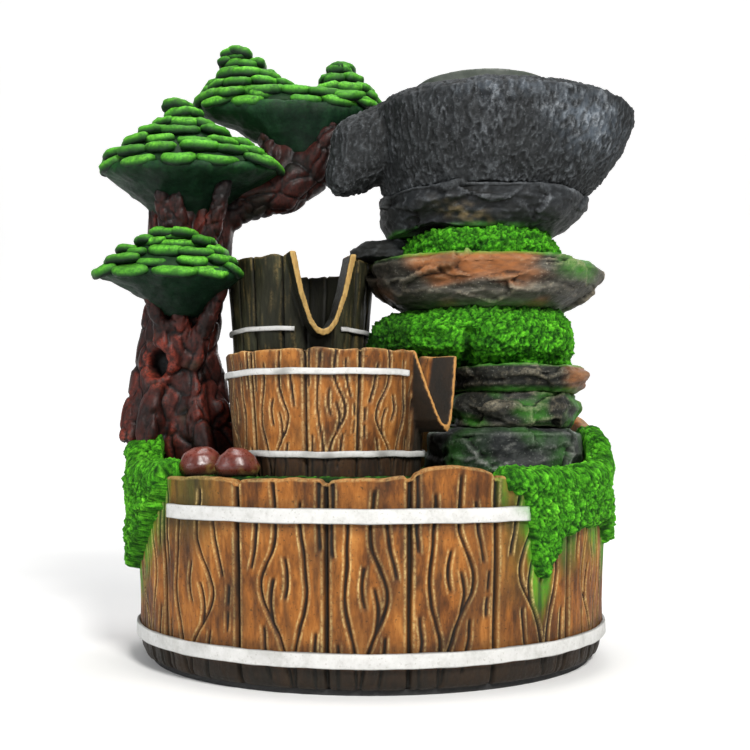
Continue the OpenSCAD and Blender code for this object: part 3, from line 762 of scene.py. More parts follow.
def tub_rings(t, top, soft=1.3):
    """Heights and insets of the tub's rings, from its foot over the rim and down the inside, and
    which part of the wall each is on."""
    rows = []
    for u in np.linspace(0, 1, 78):
        z = TUB_FOOT + u * (top - soft - TUB_FOOT)
        rows.append((z, tub_inset(z) - RIM_LIP * smooth((u - 0.9) * 10), SIDE))
    for k in np.linspace(0.25, 1, 4) * math.pi / 2:
        inset = -RIM_LIP + soft * (1 - math.cos(k)) + 0 * t
        rows.append((top - soft + soft * math.sin(k), inset, EDGE))
    rows.append((top, WALL / 2 - RIM_LIP + 0 * t, EDGE))
    for k in np.linspace(0, 1, 4) * math.pi / 2:
        inset = WALL - RIM_LIP - soft * (1 - math.sin(k))
        rows.append((top - soft + soft * math.cos(k), inset + 0 * t, LIP))
    for z, inset in ((DECK_TOP + 1, WALL), (DECK_LOW, WALL), (DECK_LOW, WALL + 2),
                     (45, WALL + 2.6), (20, WALL + 3.4), (9, WALL + 4), (7, WALL + 5.5)):
        rows.append((np.minimum(z, top - soft - 0.3), inset + 0 * t, INSIDE))
    return rows


def make_tub():
    t = tub_columns()
    n = len(t)
    edge_gap = carving(t, t * 0 + NO_KNOT, **CARVED_TUB)[3]
    top = rim_height(t) - 1.1 * stroke(edge_gap, 1.4) - 0.5 * smooth(1 - edge_gap / 6)
    top = top + 0.5 * noise(unrolled(t, 0), 5, 8)
    rows = tub_rings(t, top)
    ring = np.array([[(TUB_A - i) * np.cos(np.radians(t)), (TUB_B - i) * np.sin(np.radians(t)), z]
                     for z, i, _ in rows]).transpose(0, 2, 1)
    kind = np.repeat([part for _, _, part in rows], n)
    tt = np.tile(t, len(rows))
    co = ring.reshape(-1, 3)
    z = co[:, 2]
    joint_sink = np.tile(1.5 * stroke(edge_gap, 0.75), len(rows))
    sink, black, lips, edge_gap = carving(tt, z, **CARVED_TUB)
    grain = noise(co, (1.6, 1.6, 14), 21) * 0.14 + noise(co, (7, 7, 24), 22) * 0.35
    sink = np.where(kind == SIDE, sink + 0.25 - grain, np.where(kind == EDGE, joint_sink * 0.8, 0))
    out = np.stack([np.cos(np.radians(tt)), np.sin(np.radians(tt)), 0 * tt], 1)
    co = co - out * sink[:, None]
    ob = make_object("tub_staves", *loft_shape(co.reshape(len(rows), n, 3)))
    paint_tub(ob, tt, z, kind, black, lips, edge_gap)
    hand_in(ob, "tub_wood", ["main_tub"])


def paint_tub(ob, t, z, kind, *carved):
    """Paints the tub. The last two points, in the middle of the caps, get numbers of their own."""
    hollow, ridge = wear_and_crease_shade(ob.data, 1, 0.5)
    t, z, kind = (np.append(v, ends) for v, ends in ((t, [0, 0]), (z, [TUB_FOOT, 7]),
                                                     (kind, [INSIDE, INSIDE])))
    black, lips, edge_gap = (np.append(v, [0, 0]) for v in carved)
    flat = unrolled(t, z)
    side, inside = kind == SIDE, kind == INSIDE
    spray = smooth(1 - (moss_floor_z(t) - z) / 17) * (z < rim_height(t) - 1) * 0.8
    spray *= smooth(0.7 + noise(flat, (6, 1, 30), 18))
    foot = smooth((STRAP_LOW + 1.5 - z) / 2.5)
    by_strap = 0.5 * bell(z - STRAP_HIGH + 1.2, 2.0) + 0.55 * bell(z - STRAP_LOW - 6, 2.2)
    by_strap += 0.35 * bell(z - STRAP_HIGH - 6.2, 1.5)
    by_joint = 0.6 * smooth(1 - edge_gap / 3.6) * smooth(0.7 + noise(flat, (5, 1, 14), 26))
    patch = 0.62 * smooth(noise(flat, (13, 1, 20), 17) * 1.5)
    streaks = 0.5 * smooth(noise(flat, (2.2, 1, 26), 27) * 2.0 - 0.3)
    low_down = 0.55 * smooth((26 - z) / 14) * smooth(0.6 + noise(flat, (9, 1, 12), 28))
    shade = np.maximum.reduce([foot * 0.97, by_strap, patch, by_joint, streaks, low_down]) * side
    olive = np.maximum(0.75 * smooth(1 - np.abs(t - 227) / 16) * smooth((z - 42) / 18),
                       0.6 * smooth(1 - np.abs(t - 302) / 7) * smooth((z - 20) / 30))
    worn = lips * (0.5 + 0.5 * smooth(noise(flat, (9, 1, 14), 19) + 0.3))
    paint(ob, np.where(side, np.maximum.reduce([black, hollow * 0.35, foot * 0.6]), hollow * 0.5),
          np.where(side, np.maximum(worn * (1 - 0.7 * foot), ridge * 0.2),
                   ridge * 0.9 + 0.3 * (kind == EDGE)),
          np.where(inside, 0.12, spray), np.where(inside, 0.75, shade), olive)


def band_rows(t, z, tall, thick, soft, out):
    """A flat band's rounded section, swept over angles t on the tub's side."""
    section = []
    for corner, (cx, cz) in enumerate(((0.5, 0.5), (-0.5, 0.5), (-0.5, -0.5), (0.5, -0.5))):
        for k in np.linspace(0, 1, 5):
            a = (corner + k) * math.pi / 2
            section.append((cx * (thick - 2 * soft) + soft * math.cos(a),
                            cz * (tall - 2 * soft) + soft * math.sin(a)))
    rows = []
    for angle in t:
        a = math.radians(angle)
        wobble = 0.22 * math.sin(a * 17) + 0.12 * math.sin(a * 41)
        ring = [on_tub(angle, np.array(z + tall / 2), out + thick / 2 + r)
                + np.array([0, 0, h + wobble * 0.5]) for r, h in section]
        rows.append(ring)
    return np.array(rows)


def make_straps():
    """The two painted bands round the tub. The moss hides the upper one at both ends."""
    for name, node, arcs in (("tub_lower_strap", "tub_lower_hoop", [(0, 360)]),
                             ("tub_upper_strap", "tub_upper_hoop", [(220, 305), (25, 160)])):
        z0, z1 = low(node)[2], high(node)[2]
        shapes = []
        for start, end in arcs:
            whole = end - start == 360
            t = np.linspace(start, end, int((end - start) * 1.6), endpoint=not whole)
            rows = band_rows(t, z0, z1 - z0, 1.35, 0.55, -0.1)
            if whole:
                rows = np.concatenate([rows, rows[:1]])
            shapes.append(loft_triangles(rows, caps=not whole))
        co, tris = joined(shapes)
        ob = make_object(name, co, tris=tris)
        weld(ob)
        push(ob, lambda p, n: 0.12 * noise(p, (9, 9, 3), 31) + 0.06 * noise(p, 2.0, 33))
        p = points(ob.data)
        t = np.degrees(np.arctan2(p[:, 1] / TUB_B, p[:, 0] / TUB_A))
        dirt = smooth(noise(p, (14, 14, 5), 35) * 1.4 - 0.35) * 0.3
        rims = smooth((np.abs(p[:, 2] - (z0 + z1) / 2) - (z1 - z0) / 2 + 0.5) / 0.6) * 0.75
        spray = smooth(1 - (moss_floor_z(t) - p[:, 2]) / 7)
        paint(ob, np.maximum(dirt, rims), 0, spray * 0.6)
        hand_in(ob, "strap_paint", [node])


def weld(ob):
    bm = bmesh.new()
    bm.from_mesh(ob.data)
    bmesh.ops.remove_doubles(bm, verts=bm.verts, dist=1e-6)
    bmesh.ops.recalc_face_normals(bm, faces=bm.faces)
    bm.to_mesh(ob.data)
    bm.free()


# ---------------------------------------------------------------- barrels


def make_barrel(name, node, hoop, joints, look):
    """A staved barrel and its spout, skinned from the CAD solid and carved, with its masks."""
    middle = centre(hoop)
    ob = skinned(name, [node_shape(node)], look["voxel"], 2)
    p, n = points(ob.data), normals(ob.data)
    top = high(node)[2]
    rel = p[:, :2] - middle[:2]
    r = np.maximum(np.hypot(rel[:, 0], rel[:, 1]), 1e-6)
    t = np.degrees(np.arctan2(rel[:, 1], rel[:, 0]))
    r_low = (high(hoop)[0] - low(hoop)[0]) / 2 - HOOP_THICK
    wall = r_low + (p[:, 2] - low(hoop)[2]) * look["flare"]
    facing = (n[:, :2] * rel).sum(1) / r
    side = smooth((r - wall + 1.2) / 0.8) * smooth(1.6 - np.abs(r - wall)) * smooth(facing * 2)
    inner = smooth(-facing * 2) * (r < wall - 1)
    rim = smooth((n[:, 2] - 0.5) * 3) * (p[:, 2] > top - 3)
    sink, black, lips, edge_gap = carving(t, p[:, 2], joints, r_low, *look["knots"])
    grain = noise(p, (1.5, 1.5, 12), 41) * 0.13 + noise(p, (6, 6, 18), 43) * 0.3
    depth = side * (sink * look["depth"] - grain)
    depth = depth + (rim + inner * 0.7) * stroke(edge_gap, 0.7) * 0.8
    outwards = np.stack([rel[:, 0] / r, rel[:, 1] / r, 0 * r], 1)
    way = np.where((side > rim)[:, None], outwards, n)
    p = p - way * depth[:, None]
    p[:, 2] += smooth((p[:, 2] - top + 3) / 3) * noise(p, (6, 6, 50), 45) * 0.7 * (r < wall + 3)
    move_points(ob.data, p)
    hollow, ridge = wear_and_crease_shade(ob.data, 2, 0.35)
    a = math.radians(look["spout"])
    ahead = rel[:, 0] * math.cos(a) + rel[:, 1] * math.sin(a)
    aside = np.abs(-rel[:, 0] * math.sin(a) + rel[:, 1] * math.cos(a))
    on_spout = smooth((ahead - wall + 4.5) / 1.5) * smooth((look["wide"] + 4 - aside) / 1.5)
    outward = n[:, 0] * math.cos(a) + n[:, 1] * math.sin(a)
    lip = on_spout * np.maximum(smooth(outward * 2.2 - 0.3) * smooth((ahead - wall - 0.8) / 1.0),
                                smooth(n[:, 2] * 2 - 0.9) * (p[:, 2] > top - 2.5))
    # Painted shade on the spout and in its trough (spout), apart from its lips (lip), which get a
    # lighter colour.
    beyond = smooth((r - wall - 1.0) / 0.8)
    hidden = np.maximum(on_spout * smooth((ahead - wall + 1.5) / 1.2), beyond)
    lip = np.maximum(lip, beyond * smooth(facing * 3 - 1.8))
    return ob, SimpleNamespace(p=p, t=t, side=side * (1 - hidden), inner=inner, rim=rim,
                               black=black, lips=lips, hollow=hollow, ridge=ridge, lip=lip,
                               edge_gap=edge_gap, spout=hidden * (1 - lip))


HOOP_THICK = 1.1


def ring_hoop(name, node, middle, radius_low, radius_high, gap_at=None, gap=0.0):
    """A hoop of round-edged flat wire that follows a barrel's slope."""
    z0, z1 = low(node)[2], high(node)[2]
    whole = gap_at is None
    start = 0 if whole else gap_at + gap
    t = np.linspace(start, start + 360 - 2 * gap, 280, endpoint=not whole)
    k = around(16)
    up = 0.5 + 0.5 * np.sign(np.sin(k)) * np.abs(np.sin(k)) ** 0.6
    wide = 0.5 * HOOP_THICK * (1 + np.sign(np.cos(k)) * np.abs(np.cos(k)) ** 0.6)
    rows = []
    for a in np.radians(t):
        wobble = 0.18 * math.sin(a * 5) + 0.1 * math.sin(a * 13)
        r = radius_low + (radius_high - radius_low) * up + wide
        rows.append(np.stack([middle[0] + r * math.cos(a), middle[1] + r * math.sin(a),
                              z0 + up * (z1 - z0) + wobble], 1))
    if whole:
        rows.append(rows[0])
    ob = make_object(name, *loft_shape(np.array(rows), caps=not whole))
    weld(ob)
    push(ob, lambda p, n: 0.1 * noise(p, 2.2, 51))
    p = points(ob.data)
    rims = smooth((np.abs(p[:, 2] - (z0 + z1) / 2) - (z1 - z0) / 2 + 0.35) / 0.5) * 0.6
    paint(ob, np.maximum(smooth(noise(p, 7, 53) * 1.5 - 0.3) * 0.5, rims))
    hand_in(ob, "strap_paint", [node])


def even_joints(count, start, sway):
    """Angles of the joints between count staves, each a little off its place."""
    return [start + i * 360 / count + sway * math.sin(i * 2.7) * (0 < i < count)
            for i in range(count + 1)]


def make_middle_barrel():
    hoop, top = "middle_barrel_lower_hoop", "middle_barrel_upper_hoop"
    look = dict(voxel=0.58, flare=4 / 44.5, knots=(91.0, 8.5), depth=0.85, spout=-20, wide=11)
    joints = even_joints(11, -3, 3.0)
    ob, f = make_barrel("middle_barrel_staves", "middle_barrel", hoop, joints, look)
    z = f.p[:, 2]
    foot = smooth((low(hoop)[2] + 2.5 - z) / 2.5) * 0.85
    left = smooth((222 - (f.t % 360)) / 34) * ((f.t % 360) > 120) * 0.85
    near_spout = bell((f.t + 20 + 180) % 360 - 180, 28) * f.side * 0.8
    by_hoop = 0.5 * bell(z - low(top)[2] + 0.8, 1.4) + 0.35 * bell(z - high(top)[2] - 1.5, 1.5)
    by_joint = 0.45 * smooth(1 - f.edge_gap / 2.6)
    patch = 0.55 * smooth(noise(f.p, (9, 9, 16), 47) * 1.4 - 0.1)
    on_side = np.maximum.reduce([left, near_spout, by_hoop, by_joint, patch]) * f.side
    shade = np.maximum.reduce([foot, f.inner * 0.85, f.spout, on_side])
    # The spout's painted shade darkens the groove coat too.
    groove = np.maximum.reduce([f.black * f.side, f.hollow * 0.5, foot * 0.6, 0.5 * f.spout])
    edge = f.lips * f.side * 0.75 * (1 - foot) + f.ridge * 0.4
    warm = 0.25 * f.lip + 0.8 * f.rim * smooth(noise(f.p, 4, 49) + 0.6)
    paint(ob, groove, np.maximum(edge, warm), 0, shade * (1 - f.lip), f.lip)
    hand_in(ob, "barrel_wood", ["middle_barrel"])
    middle = centre(hoop)
    r0 = (high(hoop)[0] - low(hoop)[0]) / 2 - HOOP_THICK
    grow = look["flare"] * (high(hoop)[2] - low(hoop)[2])
    ring_hoop("middle_barrel_low_hoop", hoop, middle, r0 - grow, r0)
    r1 = r0 + (low(top)[2] - low(hoop)[2]) * look["flare"]
    ring_hoop("middle_barrel_high_hoop", top, middle, r1 - grow, r1, -20, 20)


def make_upper_barrel():
    node, hoop = "upper_barrel", "upper_barrel_hoop"
    look = dict(voxel=0.55, flare=3 / 37.5, knots=(NO_KNOT, 8.0), depth=0.8, spout=-72, wide=11)
    ob, f = make_barrel("upper_barrel_staves", node, hoop, even_joints(17, 4, 2.0), look)
    streak = smooth(noise(f.p, (1.3, 1.3, 16), 61) * 1.6 - 0.2) * f.side * 0.4
    shade = np.maximum(f.inner * 0.8, 0.8 * f.spout)
    edge = np.maximum.reduce([f.ridge * 0.35 * (f.p[:, 2] > 150), streak * 0.5,
                              f.lip * smooth(f.ridge * 2) * 0.7, f.rim * 0.3])
    paint(ob, np.maximum(f.black * f.side, f.hollow * 0.5), edge, 0, shade, f.lip)
    hand_in(ob, "dark_wood", [node])
    r0 = (high(hoop)[0] - low(hoop)[0]) / 2 - HOOP_THICK
    ring_hoop("upper_barrel_band", hoop, centre(hoop), r0 - 1.9 * look["flare"], r0, -72, 19)


# ---------------------------------------------------------------- moss


def tufted(p, seed):
    """Height of a flocked moss surface in mm, how deep in a crease each point is, which sets its
    painted shade, and how bright, which sets the painted highlight on the tuft crowns."""
    near, second, _, tone = cells(p + 0.8 * noise(p, 4, seed)[:, None], 3.6, seed + 1)
    tuft = smooth((second - near) * 2.2)
    near, second = cells(p + 0.5 * noise(p, 1.5, seed + 2)[:, None], 1.5, seed + 3)[:2]
    grain = smooth((second - near) * 2.4)
    height = (1.5 * noise(p, (11, 11, 9), seed + 4) + 0.9 * (tuft - 0.6) * (0.4 + tone[:, 0])
              + 0.7 * (grain - 0.5))
    deep = np.clip(1.05 - 0.6 * tuft - 0.7 * grain, 0, 1)
    return height + 0.65 * noise(p, 1.2, seed + 5), deep, (0.35 + 0.65 * tuft) * grain


CLEFT = 36.0


def make_collars():
    """The two thick cushions of moss between the rocks. A cleft parts the low one in front."""
    for seed, node in ((80, "moss_collar_low"), (89, "moss_collar_high")):
        ob = skinned(node + "_flock", [node_shape(node)], 0.68, 4)
        bottom, top = low(node)[2], high(node)[2]
        parted = node == "moss_collar_low"
        if parted:
            p = points(ob.data)
            p[:, 0] -= 8 * smooth((30 - p[:, 0]) / 16) * smooth((p[:, 2] - bottom) / 7)
            move_points(ob.data, p)
            push(ob, lambda p, n: -3.5 * bell(p[:, 0] - CLEFT, 2.5) * (p[:, 1] < -20)
                 * smooth((128 - p[:, 2]) / 6))
        height, deep, crown = tufted(points(ob.data), seed)
        push(ob, lambda p, n: height)
        hollow, _ = wear_and_crease_shade(ob.data, 1, 0.5)
        p, n = points(ob.data), normals(ob.data)
        patch = smooth(noise(p, 8, seed + 7) * 1.4 + 0.15)
        shade = [0.3 * (1 - patch), 0.55 * smooth(-n[:, 2] - 0.1),
                 smooth((p[:, 2] - top + 0.22 * (top - bottom)) / 5) * 0.75]
        if parted:
            shade += [0.85 * bell(p[:, 0] - CLEFT, 2.2) * smooth((126 - p[:, 2]) / 6),
                      smooth((24 - p[:, 0]) / 16) * 0.7]
        # Painted highlight on the tuft crowns, stronger where they face up; deep creases get
        # painted shade.
        bright = crown * (0.4 + 0.6 * patch) * 0.8 * (0.6 + 0.4 * smooth(n[:, 2] + 0.4))
        paint(ob, np.maximum(deep * 0.9, hollow * 0.6), bright, 0, np.maximum.reduce(shade))
        hand_in(ob, "moss", [node])


MOSS_BURIED = 2.7
BEND = 2.0
EIGHTH = 0.785


def moss_sheet(name, t0, t1, inside, thick, seed):
    """A blanket of moss draped over the tub's rim from angle t0 to t1, down to moss_floor_z. Where
    there's no moss, the sheet lies inside the wall."""
    t = np.arange(t0, t1 + 0.1, 0.34)
    s = np.arange(-inside, 58, 0.55)
    tt, ss = (v.ravel() for v in np.meshgrid(t, s, indexing="ij"))
    rim = rim_height(tt)
    turn = np.clip(ss / BEND, -EIGHTH, EIGHTH) + EIGHTH
    up, out = np.cos(turn), np.sin(turn)
    past, before = ss - BEND * EIGHTH, -ss - BEND * EIGHTH
    inset = np.where(ss < -BEND * EIGHTH, BEND + before, BEND * (1 - out))
    z = np.where(past > 0, rim - BEND - past, rim - BEND * (1 - up))
    flat = unrolled(tt, z, 1.5)
    ripple = 2.2 * noise(unrolled(tt, 0, 1.5), 7, seed) + 1.5 * noise(flat, 2.6, seed + 1)
    floor = moss_floor_z(tt) + ripple
    cover = smooth((z - floor) / 3.5 + 0.2) * smooth((inside - np.maximum(before, 0)) / 3)
    cover *= smooth((tt - t0) / 5) * smooth((t1 - tt) / 3)
    depth = -MOSS_BURIED + (thick + MOSS_BURIED) * cover
    lift = depth + cover * 0.8 * noise(flat, 9, seed + 3)

    def place(d):
        x = (TUB_A - tub_inset(z) - inset + d * out) * np.cos(np.radians(tt))
        y = (TUB_B - tub_inset(z) - inset + d * out) * np.sin(np.radians(tt))
        return np.stack([x, y, z + d * up], 1)

    height, deep, crown = tufted(place(lift), seed + 5)
    top = place(lift + height * 0.8 * smooth(cover * 2))
    under = place(np.full(len(tt), -MOSS_BURIED - 0.6))
    n, m = len(t), len(s)
    i, j = grid(n - 1, m - 1)
    a = (i * m + j).ravel()
    base = n * m
    front = np.stack([a, a + 1, a + m + 1, a + m], 1)
    back = np.stack([a, a + m, a + m + 1, a + 1], 1) + base
    ring = np.concatenate([np.arange(m - 1), np.arange(n - 1) * m + m - 1,
                           np.arange(m - 1, 0, -1) + (n - 1) * m, np.arange(n - 1, 0, -1) * m])
    following = np.roll(ring, -1)
    wall = np.stack([ring, ring + base, following + base, following], 1)
    ob = make_object(name, np.concatenate([top, under]), np.concatenate([front, back, wall]))
    hollow, _ = wear_and_crease_shade(ob.data, 1, 0.5)
    p = points(ob.data)
    patch = smooth(noise(p, 8, seed + 7) * 1.4 + 0.2)
    ends = smooth(1 - (z - floor) / 9) * 0.7 * smooth(noise(p[:base], 6, seed + 8) + 0.5)
    deep, crown, ends = (np.append(v, np.zeros(base)) for v in (deep, crown, ends))
    # Painted shade in the creases, painted highlight on the tuft crowns.
    paint(ob, np.maximum(deep * 0.9, hollow * 0.6), crown * (0.4 + 0.6 * patch), 0,
          np.maximum(ends, 0.25 * (1 - patch)))
    return ob


def make_tub_moss():
    for name, node, *where in (("moss_left_flock", "moss_left", 180, 224, 9, 5.2, 121),
                               ("moss_right_flock", "moss_right", 296, 367, 7, 3.4, 131)):
        hand_in(moss_sheet(name, *where), "moss", [node])


def make_deck():
    """Low dark moss over the deck and the lid."""
    for name, node, body, seed in (("deck_flock", "moss_deck", ROOT, 141),
                                   ("lid_flock", "pump_lid", "lid", 143)):
        ob = skinned(name, [node_shape(node)], 1.1, 0)
        p, n = points(ob.data), normals(ob.data)
        height, deep, crown = tufted(p, seed)
        up = smooth(n[:, 2] * 3 - 2) * (p[:, 2] > DECK_TOP - 1)
        ring = (p[:, 0] / (TUB_A - WALL)) ** 2 + (p[:, 1] / (TUB_B - WALL)) ** 2
        near_rim = smooth((np.sqrt(ring) - 0.86) / 0.1)
        # Painted highlight on up-facing tuft crowns; the creases get painted shade.
        bright = crown * smooth(noise(p, 9, seed + 7) + 0.3 * near_rim) * up
        p[:, 2] += (0.35 * height + 0.25 + 0.5 * near_rim) * up
        move_points(ob.data, p)
        paint(ob, deep * 0.7 * up, bright * 0.8, 0, 0.5 * (1 - up), 0.6 * near_rim * up * crown)
        hand_in(ob, "moss_floor", [node], body)


# ---------------------------------------------------------------- tree


KNOT_HOLE = np.array([-85.5, -5.0, 113.5])


def plated(p, size, seed, crack_depth=1.15, plate_lift=0.9):
    """Bark of rounded plates with cracks between them, in mm along the normal."""
    warp = p + np.stack([noise(p, 9, seed + k) for k in range(3)], 1) * 2.0
    near, second, _, tone = cells(warp, size, seed + 5)
    crack = 1 - smooth((second - near) / 0.16)
    dome = 1 - smooth(near * 1.1)
    fold = noise(p, (4.5, 4.5, 18), seed + 6)
    return (-crack_depth * crack + plate_lift * (tone[:, 0] - 0.5) + 0.9 * dome + 0.45 * fold
            + 0.1 * noise(p, 1.6, seed + 7))


def knot_distance(p):
    return np.hypot((p[:, 0] - KNOT_HOLE[0]) / 4.2, (p[:, 2] - KNOT_HOLE[2]) / 5.6)


def finish_bark(ob, field, node, redness):
    """Raises the bark and paints it, with painted shade on faces turned away from the front and a
    painted red highlight on ridges and upper faces in front. The trunk has a knot hole, and its
    tips under the pads get painted shade.
    """
    start = points(ob.data)
    push(ob, field)
    hollow, ridge = wear_and_crease_shade(ob.data, 2, 0.3)
    p, n = points(ob.data), normals(ob.data)
    front = smooth(-n[:, 1] * 1.4 + 0.15)
    # Red patches on faces turned to the front, which make the painted red highlight below.
    red = smooth(noise(p, (11, 11, 20), 181) * 2.4 + redness) * front
    # Painted shade on faces turned away from the front, and dark patches at random.
    dark = np.maximum(0.6 * smooth(n[:, 1] + 0.3), 0.65 * smooth(noise(p, 12, 183) * 1.3))
    groove = smooth(hollow * 1.6)
    lichen = smooth(noise(p, (12, 12, 9), 187) * 1.8 - 0.55) * front
    if node == "tree_trunk":
        d = knot_distance(start)
        near_hole = start[:, 1] < 4
        groove = np.maximum(groove, smooth((1.1 - d) * 4) * near_hole)
        red = np.maximum(red, bell(d - 1.6, 0.8) * near_hole * 0.8)
        # Painted shade on the limb tips that reach up under the pads.
        tips = np.maximum(smooth((start[:, 2] - 172) / 12), span(start[:, 2], 140, 156, 5))
        dark = np.maximum(dark, tips)
        red = red * (1 - tips)
    lit = np.clip(ridge * 0.9 * red + red * 0.22 * smooth(n[:, 2] + 0.6), 0, 1)
    paint(ob, groove, lit, 0, np.clip(dark, 0, 0.8) * (1 - lit), lichen * 0.7)
    hand_in(ob, "bark", [node])


TRUNK_LIMBS = [  # points along each limb and its radius at each
    ([(-79, -4, 112), (-82, -8, 124), (-85, -11, 133), (-88, -13, 143), (-90, -14, 152)],
     [4.5, 3.8, 3.2, 2.8, 2.4]),
    ([(-77, -4, 118), (-76, -10, 130), (-76, -12, 139), (-76, -14, 151)], [4.5, 3.4, 2.8, 2.4]),
    ([(-73, -3, 112), (-68, -8, 124), (-64, -11, 133), (-60, -13, 142), (-56, -13, 151)],
     [5.0, 4.0, 3.4, 2.8, 2.4]),
    ([(-80, -3, 160), (-82, -8, 170), (-84, -10, 179), (-86, -11, 188), (-88, -10, 197)],
     [5.0, 3.6, 3.0, 2.6, 2.4]),
    ([(-69, -3, 158), (-64, -7, 168), (-61, -10, 177), (-58, -11, 187), (-56, -10, 197)],
     [5.0, 3.8, 3.2, 2.8, 2.4]),
    ([(-77, -3, 160), (-77, -8, 170), (-78, -10, 180), (-79, -9, 192)], [4.5, 3.0, 2.6, 2.2]),
    ([(-92, 6, 108), (-97, 2, 94), (-98, -1, 82)], [4.0, 4.5, 4.0]),
    ([(-84, -2, 110), (-87, -6, 94), (-89, -8, 82), (-89, -8, 76)], [5, 5.2, 5, 3.5]),
    ([(-72, -2, 108), (-70, -6, 94), (-67, -8, 82), (-64, -9, 76)], [5, 5, 4.6, 3.5]),
    ([(-64, 4, 98), (-60, 2, 86), (-56, 0, 76)], [4.5, 4.5, 3.5]),
    ([(-66, 14, 174), (-54, 12, 183), (-38, 13, 189)], [8, 7, 6])]
BRANCH_LIMBS = [
    ([(-70, 15, 182), (-56, 12, 187), (-42, 14, 190), (-30, 15, 200), (-24, 16, 214)],
     [6.5, 7, 7.5, 7, 6]),
    ([(-45, 16, 192), (-41, 12, 204), (-46, 12, 216)], [6, 5, 4]),
    ([(-27, 13, 196), (-21, 8, 206), (-15, 9, 215)], [5.5, 4, 3.5])]


def trunk_bark(p, n):
    d = knot_distance(p)
    in_front = p[:, 1] < 4
    burl = in_front * (1.6 * bell(d - 1.5, 0.45) - 5.0 * smooth((1.15 - d) * 3))
    thin = smooth((p[:, 2] - 124) / 8) * smooth((-5 - p[:, 1]) / 3)
    plates = 0.8 * plated(p, (9.5, 9.5, 15), 150) + 0.5 * noise(p, (5, 5, 16), 156)
    plates *= np.where(in_front & (d < 1.2), 0.3, 1)
    return plates * (1 - thin) + thin * 0.6 * plated(p, (5.5, 5.5, 5.5), 158) + burl


def make_tree():
    for name, node, limbs, voxel, redness, field in (
            ("trunk_bark", "tree_trunk", TRUNK_LIMBS, 0.85, 0.1, trunk_bark),
            ("branch_bark", "tree_branch", BRANCH_LIMBS, 0.8, -1.1,
             lambda p, n: plated(p, (9.5, 9.5, 9.5), 165, 0.9, 0.5)),
            ("root_bark", "outer_root", [], 0.8, -0.1,
             lambda p, n: plated(p, (8, 8, 12), 175) - 0.3)):
        ob = skinned(name, [node_shape(node)] + [limb_shape(*limb) for limb in limbs], voxel, 3)
        finish_bark(ob, field, node, redness)


def cushion_shape(n_round=22, n_up=9):
    """A flat cushion 1 mm in radius and 1 thick, with round edges."""
    rows = []
    t = around(n_round)
    for k in np.linspace(-1, 1, n_up):
        a = k * math.pi / 2
        z = math.copysign(abs(math.sin(a)) ** 0.75, k) * 0.5
        r = max(0.03, math.cos(a) ** 0.38)
        rows.append(np.stack([r * np.cos(t), r * np.sin(t), 0 * t + z], 1))
    return loft_triangles(rows)


CUSHION, CUSHION_FACES = cushion_shape()


def turned(a, b, angle):
    return a * math.cos(angle) - b * math.sin(angle), a * math.sin(angle) + b * math.cos(angle)


def leaf_tile(rng, at, facing, size, tip):
    """One leaf cushion of a size (deep, wide, thick): its points, its painted highlight, strongest
    on the top, and its painted shade round the lower side."""
    deep, wide, thick = size
    t = np.arctan2(CUSHION[:, 1], CUSHION[:, 0])
    k, phase = rng.integers(2, 5), rng.uniform(0, 6.3)
    outline = 1 + 0.09 * np.sin(k * t + phase) + 0.05 * np.sin(7 * t + phase * 2)
    x, y, z = (CUSHION * (deep / 2, wide / 2, thick)).T
    x, y = x * outline, y * outline
    z = z - 0.10 * (x / deep * 2) ** 2 * thick
    z, x = turned(z, x, tip)
    x, y = turned(x, y, facing)
    # Painted highlight on the cushion's top, painted shade round its lower side.
    top = smooth(CUSHION[:, 2] * 2.4 + 0.2)
    bright = top * rng.uniform(0.35, 1.0)
    return np.stack([x, y, z], 1) + at, bright, 1 - smooth(CUSHION[:, 2] * 2.4 + 0.48)


LEAN = 0.17


